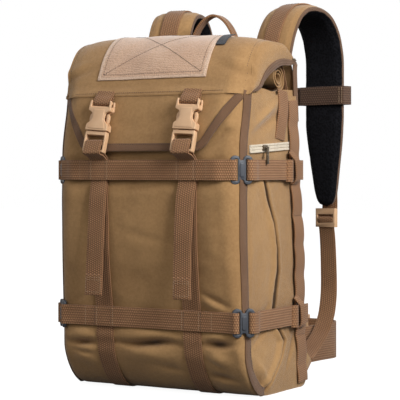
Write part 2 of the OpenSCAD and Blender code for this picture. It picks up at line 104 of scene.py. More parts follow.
def inXy(z, route):
    return [(x, y, z) for x, y in route]


def arc(cx, cy, r, start, end, steps):  # points along an arc, angles in degrees
    return [(cx + r * math.cos(deg(start + (end - start) * i / steps)),
             cy + r * math.sin(deg(start + (end - start) * i / steps))) for i in range(steps + 1)]


def smoothRoute(points, count):  # an even walk along a Catmull-Rom curve through the points
    p = [np.array(q, float) for q in points]
    p = [2 * p[0] - p[1]] + p + [2 * p[-1] - p[-2]]
    fine = []
    for i in range(1, len(p) - 2):
        for t in np.linspace(0, 1, 24, endpoint=i == len(p) - 3):
            a, b, c, d = p[i - 1], p[i], p[i + 1], p[i + 2]
            fine.append(0.5 * (2 * b + (c - a) * t + (2 * a - 5 * b + 4 * c - d) * t * t
                               + (3 * b - a - 3 * c + d) * t ** 3))
    fine = np.array(fine)
    run = np.r_[0, np.cumsum(np.linalg.norm(np.diff(fine, axis=0), axis=1))]
    even = np.linspace(0, run[-1], count)
    return np.array([[np.interp(e, run, fine[:, k]) for k in range(3)] for e in even]), run[-1]


def applyModifier(piece, kind, **settings):
    selectOnly(piece)
    tool = piece.modifiers.new(kind.title(), kind)
    for key, value in settings.items():
        setattr(tool, key, value)
    bpy.ops.object.modifier_apply(modifier=tool.name)


def smoothShade(piece, angle):
    selectOnly(piece)
    bpy.ops.object.shade_smooth_by_angle(angle=deg(angle))


def onWholeMesh(piece, operator, **settings):
    selectOnly(piece)
    bpy.ops.object.mode_set(mode="EDIT")
    bpy.ops.mesh.select_all(action="SELECT")
    operator(**settings)
    bpy.ops.object.mode_set(mode="OBJECT")


def mergeDoubles(piece, distance=0.00002):
    onWholeMesh(piece, bpy.ops.mesh.remove_doubles, threshold=distance)


def turnOutwards(piece):
    onWholeMesh(piece, bpy.ops.mesh.normals_make_consistent, inside=False)


def giveThickness(piece, thick, edge=0.0):  # a wall either side of the sheet, its rim rounded by edge
    applyModifier(piece, "SOLIDIFY", thickness=thick * mm, offset=0.0)
    if edge:
        applyModifier(piece, "BEVEL", width=edge * mm, segments=2, limit_method="ANGLE", angle_limit=deg(50))
    return piece


def gridPiece(name, columns, rows, place, flat, folds=None):
    # a grid primitive whose points go where place(u, v) says, in millimetres
    clearSelection()
    bpy.ops.mesh.primitive_grid_add(x_subdivisions=columns, y_subdivisions=rows, size=2)
    piece = bpy.context.object
    piece.name = name
    mesh = piece.data
    mesh.name = name
    corner = [((v.co.x + 1) / 2, (v.co.y + 1) / 2) for v in mesh.vertices]
    uvs = mesh.uv_layers.active.data
    for loop in mesh.loops:
        u, v = corner[loop.vertex_index]
        uvs[loop.index].uv = (u * flat[0], v * flat[1])
    # folds gives each point a fold value, which the cloth finish turns into painted shade and painted highlight
    if folds:
        shade = mesh.attributes.new("fold", "FLOAT", "POINT")
        shade.data.foreach_set("value", [float(folds(u, v)) for u, v in corner])
    for vertex, (u, v) in zip(mesh.vertices, corner):
        vertex.co = Vector(place(u, v)) * mm
    return piece


def finishPiece(piece, body, material, angle=40):
    if material is not None:
        piece.data.materials.clear()
        piece.data.materials.append(material)
    smoothShade(piece, angle)
    if body:
        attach(piece, body)
    return piece


def joinPieces(name, pieces):
    clearSelection()
    for p in pieces:
        p.select_set(True)
    bpy.context.view_layer.objects.active = pieces[0]
    if len(pieces) > 1:
        bpy.ops.object.join()
    pieces[0].name = name
    pieces[0].data.name = name
    return pieces[0]


def newMaterial(name, colour, roughness, **sockets):
    material = bpy.data.materials.new(name)
    material.use_nodes = True
    tree = material.node_tree
    shader = tree.nodes["Principled BSDF"]
    shader.inputs["Base Color"].default_value = (*colour, 1)
    shader.inputs["Roughness"].default_value = roughness
    for key, value in sockets.items():
        shader.inputs[key.replace("_", " ")].default_value = value
    return material, tree, shader


def addNode(tree, kind, inputs=(), **settings):
    node = tree.nodes.new(kind)
    for key, value in settings.items():
        setattr(node, key, value)
    for key, value in dict(inputs).items():
        if isinstance(value, bpy.types.NodeSocket):
            tree.links.new(value, node.inputs[key])
        else:
            node.inputs[key].default_value = value
    return node


def mathNode(tree, operation, a, b=0.0):
    return addNode(tree, "ShaderNodeMath", {0: a, 1: b}, operation=operation).outputs[0]


def mixColour(tree, factor, a, b):
    node = addNode(tree, "ShaderNodeMix", data_type="RGBA")
    for key, value in ((0, factor), (6, a), (7, b)):
        if isinstance(value, bpy.types.NodeSocket):
            tree.links.new(value, node.inputs[key])
        else:
            node.inputs[key].default_value = value if key == 0 else (*value, 1)
    return node.outputs[2]


def noiseAt(tree, coordinates, scale, detail=3.0, roughness=0.55):
    return addNode(tree, "ShaderNodeTexNoise", {"Vector": coordinates, "Scale": scale, "Detail": detail,
                                               "Roughness": roughness}).outputs["Fac"]


def wave01(tree, value, pitch):
    angle = mathNode(tree, "MULTIPLY", value, 2 * math.pi / pitch)
    half = mathNode(tree, "MULTIPLY", mathNode(tree, "SINE", angle), 0.5)
    return mathNode(tree, "ADD", half, 0.5)


def rangeNode(tree, value, fromMin, fromMax, toMin, toMax):
    return addNode(tree, "ShaderNodeMapRange", {0: value, 1: fromMin, 2: fromMax, 3: toMin, 4: toMax}).outputs[0]


def tint(tree, colour, driver, low, high, amount, towards):  # up to amount of towards as driver goes low to high
    return mixColour(tree, rangeNode(tree, driver, low, high, 0.0, amount), colour, towards)


def bumpOnto(tree, shader, height, distance, strength):
    node = addNode(tree, "ShaderNodeBump", {"Height": height, "Distance": distance, "Strength": strength})
    tree.links.new(node.outputs["Normal"], shader.inputs["Normal"])


def coordinates(tree):  # the object's own place, then the flat u and v in metres
    place = addNode(tree, "ShaderNodeTexCoord")
    split = addNode(tree, "ShaderNodeSeparateXYZ", {0: place.outputs["UV"]})
    return place.outputs["Object"], split.outputs[0], split.outputs[1]


def paint(tree, shader, colour, rough=None):
    tree.links.new(colour, shader.inputs["Base Color"])
    if rough is not None:
        tree.links.new(rough, shader.inputs["Roughness"])


clothLook = dict(base=(0.40, 0.223, 0.089), light=(0.51, 0.296, 0.123), dark=(0.18, 0.092, 0.035),
                 weave=0.0011, rough=0.78, sheen=0.25)


def packCloth(name, look, paintFoldShade=True):
    material, tree, shader = newMaterial(name, look["base"], look["rough"], Sheen_Weight=look["sheen"],
                                         Sheen_Roughness=0.45, Specular_IOR_Level=0.25)
    at, across, along = coordinates(tree)
    warp, weft = wave01(tree, across, look["weave"]), wave01(tree, along, look["weave"])
    thread = mathNode(tree, "MAXIMUM", mathNode(tree, "MULTIPLY", warp, weft),
                      mathNode(tree, "MULTIPLY", mathNode(tree, "SUBTRACT", 1.0, warp),
                               mathNode(tree, "SUBTRACT", 1.0, weft)))
    broad = noiseAt(tree, at, 9.0, 4.0)
    fine = noiseAt(tree, at, 260.0, 3.0, 0.7)
    colour = tint(tree, look["base"], broad, 0.35, 0.68, 1.0, look["light"])
    colour = tint(tree, colour, fine, 0.3, 0.75, 0.34, look["dark"])
    colour = tint(tree, colour, thread, 1.0, 0.0, 0.16, look["dark"])
    if paintFoldShade:  # painted shade in creases and a painted highlight on ridges, both driven by the fold value
        fold = addNode(tree, "ShaderNodeAttribute", attribute_name="fold").outputs["Fac"]
        colour = tint(tree, colour, fold, 0.0, -3.0, 0.55, look["dark"])
        colour = tint(tree, colour, fold, 0.4, 3.5, 0.38, look["light"])
        # the deepest folds are painted near black, as painted shadow inside them
        colour = tint(tree, colour, fold, -3.2, -7.0, 0.86, (0.03, 0.015, 0.006))
    paint(tree, shader, colour, rangeNode(tree, fine, 0.3, 0.7, look["rough"] - 0.08, look["rough"] + 0.1))
    bumpOnto(tree, shader, mathNode(tree, "ADD", mathNode(tree, "MULTIPLY", thread, 0.6), fine), 0.00035, 0.7)
    return material


webLook = dict(base=(0.305, 0.148, 0.063), light=(0.47, 0.256, 0.127), dark=(0.105, 0.046, 0.021),
               rib=0.0031, pick=0.0027, rough=0.72)


def wovenStrap(name, look):  # lengthwise ribs crossed by short picks, laid out in brick order
    material, tree, shader = newMaterial(name, look["base"], look["rough"], Sheen_Weight=0.15,
                                         Specular_IOR_Level=0.3)
    at, across, along = coordinates(tree)
    ribs = wave01(tree, across, look["rib"])
    column = mathNode(tree, "FLOOR", mathNode(tree, "DIVIDE", across, look["rib"]))
    shift = mathNode(tree, "MULTIPLY", column, look["pick"] * 0.5)
    picks = wave01(tree, mathNode(tree, "ADD", along, shift), look["pick"])
    weave = mathNode(tree, "MULTIPLY", rangeNode(tree, ribs, 0.0, 1.0, 0.45, 1.0),
                     rangeNode(tree, picks, 0.0, 1.0, 0.35, 1.0))
    blotch = noiseAt(tree, at, 22.0, 3.0)
    colour = tint(tree, look["dark"], weave, 0.15, 0.5, 1.0, look["base"])
    colour = tint(tree, colour, weave, 0.5, 1.0, 0.75, look["light"])
    colour = tint(tree, colour, blotch, 0.4, 0.7, 0.22, look["dark"])
    paint(tree, shader, colour, rangeNode(tree, blotch, 0.3, 0.7, look["rough"] - 0.1, look["rough"] + 0.1))
    bumpOnto(tree, shader, weave, 0.0007, 0.9)
    return material


def pileCloth(name, base, light, dark):  # short brushed loops
    material, tree, shader = newMaterial(name, base, 0.92, Sheen_Weight=0.5, Sheen_Roughness=0.6)
    at, _, along = coordinates(tree)
    rows = wave01(tree, along, 0.0026)
    tufts = addNode(tree, "ShaderNodeTexVoronoi", {"Vector": at, "Scale": 620.0}).outputs["Distance"]
    broad = noiseAt(tree, at, 30.0, 4.0)
    colour = tint(tree, base, broad, 0.35, 0.65, 1.0, light)
    colour = tint(tree, colour, tufts, 0.2, 0.7, 0.5, dark)
    colour = tint(tree, colour, rows, 1.0, 0.0, 0.1, dark)
    paint(tree, shader, colour)
    bumpOnto(tree, shader, mathNode(tree, "SUBTRACT", mathNode(tree, "MULTIPLY", rows, 0.3), tufts), 0.0006, 0.8)
    return material


def mouldedPlastic(name, base, worn, rough):
    material, tree, shader = newMaterial(name, base, rough, Specular_IOR_Level=0.45)
    at = addNode(tree, "ShaderNodeTexCoord").outputs["Object"]
    grain = noiseAt(tree, at, 900.0, 2.0)
    cloud = noiseAt(tree, at, 60.0, 4.0)
    scuff = noiseAt(tree, at, 210.0, 5.0, 0.75)
    colour = tint(tree, base, cloud, 0.4, 0.7, 0.45, worn)
    colour = tint(tree, colour, scuff, 0.6, 0.78, 0.6, worn)
    paint(tree, shader, colour, rangeNode(tree, scuff, 0.3, 0.75, rough - 0.07, rough + 0.16))
    bumpOnto(tree, shader, grain, 0.00012, 0.5)
    return material


def spacerMesh(name, base, thread):  # open knit over black foam
    material, tree, shader = newMaterial(name, base, 0.9, Specular_IOR_Level=0.12)
    at = addNode(tree, "ShaderNodeTexCoord").outputs["Object"]
    holes = addNode(tree, "ShaderNodeTexVoronoi", {"Vector": at, "Scale": 330.0}).outputs["Distance"]
    broad = noiseAt(tree, at, 25.0, 3.0)
    colour = tint(tree, base, holes, 0.25, 0.62, 1.0, thread)
    colour = tint(tree, colour, broad, 0.4, 0.7, 0.4, base)
    paint(tree, shader, colour)
    bumpOnto(tree, shader, holes, 0.0008, 0.9)
    return material


def stitchThread(name, base, light):
    material, tree, shader = newMaterial(name, base, 0.6, Sheen_Weight=0.1)
    at = addNode(tree, "ShaderNodeTexCoord").outputs["Object"]
    twist = noiseAt(tree, at, 1500.0, 2.0)
    paint(tree, shader, tint(tree, base, twist, 0.35, 0.65, 1.0, light))
    bumpOnto(tree, shader, twist, 0.0002, 0.6)
    return material


def coilTape(name, base, dark):
    material, tree, shader = newMaterial(name, base, 0.7, Specular_IOR_Level=0.35)
    at, _, along = coordinates(tree)
    teeth = wave01(tree, along, 0.0016)
    spots = noiseAt(tree, at, 180.0, 4.0)
    colour = tint(tree, base, teeth, 1.0, 0.0, 0.4, dark)
    colour = tint(tree, colour, spots, 0.5, 0.75, 0.4, dark)
    paint(tree, shader, colour)
    bumpOnto(tree, shader, teeth, 0.0003, 0.8)
    return material


def castMetal(name, base, worn):
    material, tree, shader = newMaterial(name, base, 0.42, Metallic=0.85)
    at = addNode(tree, "ShaderNodeTexCoord").outputs["Object"]
    scuff = noiseAt(tree, at, 420.0, 5.0, 0.7)
    paint(tree, shader, tint(tree, base, scuff, 0.45, 0.7, 0.8, worn), rangeNode(tree, scuff, 0.3, 0.7, 0.34, 0.6))
    bumpOnto(tree, shader, scuff, 0.0001, 0.5)
    return material


khaki = packCloth("khaki_cloth", clothLook)
khakiInside = packCloth("lining_cloth", dict(clothLook, base=(0.14, 0.10, 0.065), light=(0.2, 0.145, 0.095),
                                              dark=(0.05, 0.034, 0.02)), paintFoldShade=False)
webbing = wovenStrap("brown_webbing", webLook)
# a copy of the brown webbing painted darker as shade, for the sternum strap where it sits in shadow
shadedWebbing = wovenStrap("dark_webbing", dict(webLook, base=(0.12, 0.062, 0.036), light=(0.20, 0.115, 0.07),
                                              dark=(0.05, 0.026, 0.015)))
bindingTape = wovenStrap("binding_tape", dict(webLook, base=(0.205, 0.105, 0.052), light=(0.28, 0.155, 0.082),
                                              dark=(0.10, 0.048, 0.023), rib=0.0017, pick=0.0013))
loopPile = pileCloth("loop_pile", (0.60, 0.365, 0.225), (0.70, 0.45, 0.29), (0.40, 0.215, 0.12))
tanPlastic = mouldedPlastic("tan_plastic", (0.66, 0.405, 0.225), (0.76, 0.51, 0.31), 0.42)
darkPlastic = mouldedPlastic("dark_plastic", (0.042, 0.047, 0.058), (0.10, 0.108, 0.125), 0.4)
blackMesh = spacerMesh("black_mesh", (0.0035, 0.0035, 0.0045), (0.011, 0.011, 0.014))
paleThread = stitchThread("pale_thread", (0.33, 0.215, 0.12), (0.46, 0.31, 0.19))
darkThread = stitchThread("dark_thread", (0.055, 0.03, 0.018), (0.10, 0.06, 0.036))
zipTape = coilTape("zip_tape", (0.80, 0.71, 0.57), (0.36, 0.28, 0.19))
zipMetal = castMetal("zip_metal", (0.11, 0.085, 0.06), (0.34, 0.28, 0.2))
stayMetal = castMetal("stay_metal", (0.55, 0.55, 0.57), (0.75, 0.75, 0.78))
sheetPlastic = mouldedPlastic("sheet_plastic", (0.03, 0.03, 0.034), (0.07, 0.07, 0.078), 0.5)
tagTape = wovenStrap("tag_tape", dict(webLook, base=(0.045, 0.046, 0.055), light=(0.085, 0.087, 0.1),
                                      dark=(0.015, 0.015, 0.02), rib=0.0012, pick=0.001))
print("finishes ready")


def strapPiece(name, route, width, thick, wide, count=40, columns=6, taper=None, smooth=True):
    # a flat strap along the route; wide is the direction across it, or one for each route point
    points, length = smoothRoute(route, count)
    if not smooth:
        points, length = np.array(route, float), sum(math.dist(a, b) for a, b in zip(route, route[1:]))
        count = len(points)
    tangents = np.gradient(points, axis=0)
    tangents /= np.linalg.norm(tangents, axis=1)[:, None]
    wides = np.array(wide, float)
    if wides.ndim == 1:
        wides = np.tile(wides, (count, 1))
    else:
        wides = np.array([[np.interp(i, np.linspace(0, count - 1, len(wides)), wides[:, k]) for k in range(3)]
                          for i in range(count)])

    def place(u, v):
        i = int(round(v * (count - 1)))
        t = Vector(tangents[i])
        w = Vector(wides[i])
        w = (w - t * w.dot(t)).normalized()
        share = taper(v) if taper else 1.0
        return Vector(points[i]) + w * (u - 0.5) * width * share

    piece = gridPiece(name, columns, count - 1, place, (width * mm, length * mm))
    return giveThickness(piece, thick, min(0.45, thick * 0.3))


def webStrap(name, route, wide=acrossZ, count=40, body="bag", width=25.0, thick=1.8, columns=6, **more):
    # a strap of the pack's brown webbing
    piece = strapPiece(name, route, width, thick, wide, count, columns, **more)
    return finishPiece(piece, body, webbing)


def webTack(name, line, body="bag", normal=(0, -1, 0), pitch=2.3, **more):  # a row of stitches through webbing
    return threadRun(name, line, body, "brown_webbing", pitch=pitch, normal=normal, **more)


def threadRun(name, route, body, slot, normal, pitch=3.2, length=2.3, material=None):
    # a line of stitches: one small six-sided stitch, copied along the route
    size = 0.42
    up = Vector(normal).normalized()
    points, _ = smoothRoute(route, max(8, int(len(route) * 12)))
    run = np.r_[0, np.cumsum(np.linalg.norm(np.diff(points, axis=0), axis=1))]
    stitches = max(2, int(run[-1] / pitch))
    vertices, faces = [], []
    for s in range(stitches):
        middle = (s + 0.5) * run[-1] / stitches
        ends = [Vector([np.interp(middle + d * length / 2, run, points[:, k]) for k in range(3)]) for d in (-1, 0, 1)]
        t = (ends[2] - ends[0]).normalized()
        side = t.cross(up).normalized()
        base = len(vertices)
        for at, girth, rise in ((ends[0], 0.35, -0.2), (ends[1], 1.0, 0.25), (ends[2], 0.35, -0.2)):
            for k in range(6):
                a = 2 * math.pi * k / 6
                vertices.append((at + up * (rise + math.sin(a) * girth * 0.75) * size
                                 + side * math.cos(a) * girth * size) * mm)
        for ring in (0, 6):
            for k in range(6):
                faces.append((base + ring + k, base + ring + (k + 1) % 6, base + ring + 6 + (k + 1) % 6,
                              base + ring + 6 + k))
        faces.append(tuple(base + k for k in range(5, -1, -1)))
        faces.append(tuple(base + 12 + k for k in range(6)))
    mesh = bpy.data.meshes.new(name)
    mesh.from_pydata([tuple(v) for v in vertices], [], faces)
    mesh.uv_layers.new(name="UVMap")
    piece = bpy.data.objects.new(name, mesh)
    bpy.context.scene.collection.objects.link(piece)
    turnOutwards(piece)
    return finishPiece(piece, body, material or darkThread, 60)


def lineWall(piece, wall):  # thickness laid inwards, its inner face in the lining's finish
    piece.data.materials.append(khaki)
    piece.data.materials.append(khakiInside)
    applyModifier(piece, "SOLIDIFY", thickness=wall * mm, offset=-1.0, material_offset=1)


def cutPlate(name, outlines, thick, rounding, frameMatrix):
    # a moulded plate: outlines in its own x and y, the first the outside and the others windows
    curve = bpy.data.curves.new(name, "CURVE")
    curve.dimensions = "2D"
    curve.fill_mode = "BOTH"
    curve.extrude = max(thick / 2 - rounding, 0.01) * mm
    curve.bevel_depth = rounding * mm
    curve.bevel_resolution = 3
    curve.offset = -rounding * mm
    for outline in outlines:
        spline = curve.splines.new("POLY")
        spline.points.add(len(outline) - 1)
        for point, (x, y) in zip(spline.points, outline):
            point.co = (x * mm, y * mm, 0, 1)
        spline.use_cyclic_u = True
    piece = bpy.data.objects.new(name, curve)
    bpy.context.scene.collection.objects.link(piece)
    selectOnly(piece)
    bpy.ops.object.convert(target="MESH")
    piece = bpy.context.object
    piece.data.transform(frameMatrix)
    mergeDoubles(piece)
    turnOutwards(piece)
    return piece


def roundedOutline(corners, radius, steps=5):  # a polygon with its corners rounded
    result = []
    n = len(corners)
    for i in range(n):
        a, b, c = (Vector(corners[(i + k - 1) % n][:2]) for k in range(3))
        r = corners[i][2] if len(corners[i]) > 2 else radius
        before, after = (a - b), (c - b)
        reach = min(r, before.length * 0.48, after.length * 0.48)
        p, q = b + before.normalized() * reach, b + after.normalized() * reach
        for s in range(steps + 1):
            t = s / steps
            result.append(tuple((1 - t) ** 2 * p + 2 * t * (1 - t) * b + t * t * q))
    return result


def boxOutline(x0, y0, x1, y1, radius):
    return roundedOutline([(x0, y0), (x1, y0), (x1, y1), (x0, y1)], radius)


def refinedNode(node, name, rounding, material, body, flatten=4.0):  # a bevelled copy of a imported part
    copy = frame["nodes"][node].copy()
    copy.data = frame["nodes"][node].data.copy()
    copy.name = name
    copy.data.name = name
    copy.parent = None
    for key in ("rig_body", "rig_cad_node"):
        if key in copy:
            del copy[key]
    bpy.context.scene.collection.objects.link(copy)
    mergeDoubles(copy, 0.00001)
    applyModifier(copy, "DECIMATE", decimate_type="DISSOLVE", angle_limit=deg(flatten))
    applyModifier(copy, "BEVEL", width=rounding * mm, segments=3, limit_method="ANGLE", angle_limit=deg(35),
                  use_clamp_overlap=True)
    finishPiece(copy, body, material, 35)
    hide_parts(node)
    return copy


# The bag's own surface is where every strap and seam lies.
bag = dict(half=132.5, top=372.0, toe=78.0, toeEnd=15.0, lowReach=74.0, rear=104.0, lean=34.0,
           hinge=436.0, wall=2.2, midBelt=278.0, lowBelt=94.0, straps=64.0)


def rearY(z):
    return bag["rear"] - bag["lean"] * z / bag["hinge"]


def frontReach(z):  # how far the front stands before the origin, on the centre line
    if z < bag["toe"]:
        share = 1 - z / bag["toe"]
        return bag["toeEnd"] + (bag["lowReach"] - bag["toeEnd"]) * math.sqrt(max(1 - share * share, 0))
    reach = np.interp(z, [78, 96, 118, 160, 200, 240, 296, 330, 372], [74, 74.2, 77.5, 83, 85.4, 86, 84.6, 78.5, 69])
    return float(reach)


def pleatY(z):
    return float(np.interp(z, [0, 12, 30, 45, 64, 84, 105, 125, 152, 176, 213, 238, 258, 272],
                           [-18, -9, 9, 23, 33, 17, 9, 10, 15, 14, 5, -6, -14, -19]))


# slanting folds: depth, slope, start, height, spread, then the middle and reach of the stretch they run over
sideFolds = [(-1.8, 0.55, -20, 338, 4, -15, 26), (1.6, 0.55, -20, 345, 5, -15, 26), (-3.0, 0.45, -40, 322, 6, -8, 30),
             (2.4, 0.45, -40, 335, 7, -8, 30), (-3.4, -0.9, -40, 30, 4, -30, 16), (2.6, -0.9, -40, 44, 6, -26, 16),
             (-2.6, 0.5, -30, 74, 4, -28, 18), (-2.2, 1.6, 60, 60, 7, 52, 14), (-1.5, 0.7, 0, 116, 5, -30, 22)]
frontFolds = [(-2.4, -0.5, 70, 52, 3.6, 92, 12), (-2.6, -0.42, 90, 124, 3.6, 98, 17), (2.4, -0.34, 90, 115, 5, 98, 17),
              (-1.4, 0.5, -90, 122, 4, -100, 15), (-1.8, 0.9, 110, 322, 5, 112, 16), (1.6, 0.9, 110, 332, 6, 112, 16)]


def slantFolds(a, z, folds):
    return sum(depth * hump(z - slope * (a - start), height, spread) * hump(a, middle, reach)
               for depth, slope, start, height, spread, middle, reach in folds)


def sideSwell(y, z, side):  # how far the side wall stands out, in millimetres
    s = 0.6 if side < 0 else 1.0
    swell = 3.2 * math.sin(math.pi * smoothStep(94, 278, z)) * hump(y, -25, 45)
    swell += 4.0 * hump(z, 46, 30) * hump(y, -14, 32) * smoothStep(0, 20, z)
    swell += 2.2 * hump(z, 335, 24) * hump(y, -10, 50)
    for belt in (bag["midBelt"], bag["lowBelt"]):
        swell -= 2.4 * hump(z, belt, 15)
    span = smoothStep(2, 16, z) * (1 - smoothStep(262, 276, z))
    away = y - pleatY(z)
    deep = 0.75 + 0.25 * math.sin(z / 23.0) + 0.3 * hump(z, 60, 24)
    swell += span * s * deep * (-12.5 * hump(away, 0, 3.3) + 4.6 * hump(away, -9.5, 7) + 1.8 * hump(away, 7, 5))
    swell += slantFolds(y, z, sideFolds)
    swell += 1.3 * wander(y, z, side * 7, 34, 3.1) + 0.5 * wander(y, z, side * 5, 12, 8.7)
    return swell


def frontSwell(x, z):  # how far the front stands out beyond its even curve
    between = hump(x, 0, 34)
    outer = hump(abs(x), 98, 14)
    body = math.sin(math.pi * smoothStep(100, 270, z))
    swell = body * (2.4 * between + 1.8 * outer) - 1.3 * hump(abs(x), bag["straps"], 15)
    for belt in (bag["midBelt"], bag["lowBelt"]):
        swell -= 2.0 * hump(z, belt, 15) - 1.0 * hump(z, belt - 27, 10)
    lower = 1 - smoothStep(74, 88, z)
    swell += lower * 3.0 * hump(z, 74 + 0.04 * x, 8) * (between + outer)
    swell -= 7.0 * hump(z, 63 + 0.035 * x + 3.0 * wander(x, 0, 0, 40), 4.6) * (0.22 + between + outer)
    swell += 4.8 * hump(z, 48, 10) * (between + 1.2 * outer)
    swell -= 4.2 * hump(z, 36 - 0.11 * x, 4.4) * (outer + 0.5 * hump(x, 26, 18))
    swell += 1.8 * hump(z, 26 - 0.1 * x, 6) * (outer + 0.4 * hump(x, 26, 18))
    swell += slantFolds(x, z, frontFolds)
    swell -= 1.3 * hump(z - 0.12 * x, 255, 4) * between
    swell -= 1.0 * hump(z + 0.2 * x, 196, 6) * between
    swell += 1.3 * wander(x, z, 0, 46, 5.3) + 0.5 * wander(x, z, 3, 15, 1.9)
    return swell


def planCorner(z):
    return max(9.0, min(24.0, frontReach(z) - 61.5)) + 10.0 * smoothStep(300, 366, z)


def onFront(x, z, lift):  # a point lift millimetres off the front, wrapped round its corners
    r = planCorner(z)
    reach = frontReach(z)
    over = abs(x) - (bag["half"] - r)
    y = -reach
    if over > 0:
        y = -reach + r - math.sqrt(max(r * r - min(over, r) ** 2, 0))
    swell = frontSwell(x, z) * (1 - smoothStep(0, r, over))
    return Vector((x, y - swell - lift, z))


def onSide(y, z, lift, side):
    fade = smoothStep(-62, -50, y) * (1 - smoothStep(rearY(z) - 14, rearY(z), y))
    return Vector((side * (bag["half"] + sideSwell(y, z, side) * fade + lift), y, z))


shell = dict(rear=12, rearCorner=4, side=88, frontCorner=9, front=70, rows=160, closing=5)


def sectionPoint(k, z):
    # walks once round the bag at height z: rear, right side, front, left side, rear
    r, q = planCorner(z), 7.0
    front, rear = -frontReach(z), rearY(z)
    if z < 12:
        rear -= 12 - math.sqrt(max(144 - (12 - z) ** 2, 0))
    half = bag["half"]
    side = 1
    total = 2 * (shell["rear"] + shell["rearCorner"] + shell["side"] + shell["frontCorner"]) + shell["front"]
    if k > total / 2:
        side, k = -1, total - k
    if k <= shell["rear"]:
        x = side * k / shell["rear"] * (half - q)
        puff = 0.6 * wander(x, z, 9, 30, 4.2)
        return Vector((x, rear + puff * 0.4, z)), 0.0
    k -= shell["rear"]
    if k <= shell["rearCorner"]:
        a = k / shell["rearCorner"] * math.pi / 2
        return Vector((side * (half - q + q * math.sin(a)), rear - q + q * math.cos(a), z)), 0.0
    k -= shell["rearCorner"]
    if k <= shell["side"]:
        y = (rear - q) + (front + r - rear + q) * k / shell["side"]
        point = onSide(y, z, 0.0, side)
        # painted shade along the side pleat's groove, carried in the fold value
        shade = -11 * hump(y - pleatY(z), 1.5, 2.6 + 1.8 * hump(z, 150, 45)) * smoothStep(4, 30, z)
        shade *= 1 - smoothStep(262, 276, z)
        return point, (point.x * side - half) + shade
    k -= shell["side"]
    if k <= shell["frontCorner"]:
        a = k / shell["frontCorner"] * math.pi / 2
        x = half - r + r * math.cos(a)
        y = front + r - r * math.sin(a)
        swell = frontSwell(side * (half - r), z) * smoothStep(0.0, 1.0, a / (math.pi / 2))
        return Vector((side * x, y - swell * math.sin(a), z)), swell * 0.5
    k -= shell["frontCorner"]
    x = side * (half - r) * (1 - k / (shell["front"] / 2))
    swell = frontSwell(x, z)
    return Vector((x, front - swell, z)), swell


shellColumns = 2 * (shell["rear"] + shell["rearCorner"] + shell["side"] + shell["frontCorner"]) + shell["front"]
shellRows = shell["rows"] + shell["closing"]


def shellPlace(u, v):
    k = u * shellColumns
    row = round((1 - v) * shellRows)
    if row <= shell["rows"]:
        z = bag["top"] * (1 - row / shell["rows"]) ** 1.25
        point, swell = sectionPoint(k, z)
        if z < 3:
            point.z = z
        return point, swell
    point, swell = sectionPoint(k, 0.0)
    inward = (row - shell["rows"]) / shell["closing"]
    middle = Vector((0, 36, 0))
    point = middle + (point - middle) * (1 - inward)
    point.z = 0.6 * inward
    return point, 0.0


shellCache = {}


def shellAt(u, v):
    key = (round(u * shellColumns), round(v * shellRows))
    if key not in shellCache:
        shellCache[key] = shellPlace(u, v)
    return shellCache[key]


bagShell = gridPiece("bagShell", shellColumns, shellRows, lambda u, v: shellAt(u, v)[0], (0.86, 0.47),
                     folds=lambda u, v: shellAt(u, v)[1])
mergeDoubles(bagShell)
turnOutwards(bagShell)
lineWall(bagShell, bag["wall"])
finishPiece(bagShell, "bag", None, 60)
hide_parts("front_panel", "base_panel", "side_panel_left", "side_panel_right", "back_panel")
print("bag shell done")


lid = dict(half=134.0, columns=44, rows=46, gusset=12, wall=2.0)
lidRoute, _ = smoothRoute([(0, 71.5, 434), (0, 67.5, 440), (0, 55, 443.5), (0, 34, 444.6), (0, 8, 445.4),
                                (0, -18, 444), (0, -36, 436.5), (0, -50, 423), (0, -60, 407), (0, -68, 389),
                                (0, -76.5, 371)], 60)
gussetRoute, _ = smoothRoute([(0, 66, 414), (0, 46, 411), (0, 22, 409), (0, -2, 400), (0, -21, 388),
                              (0, -34, 377), (0, -56, 372.5)], 60)


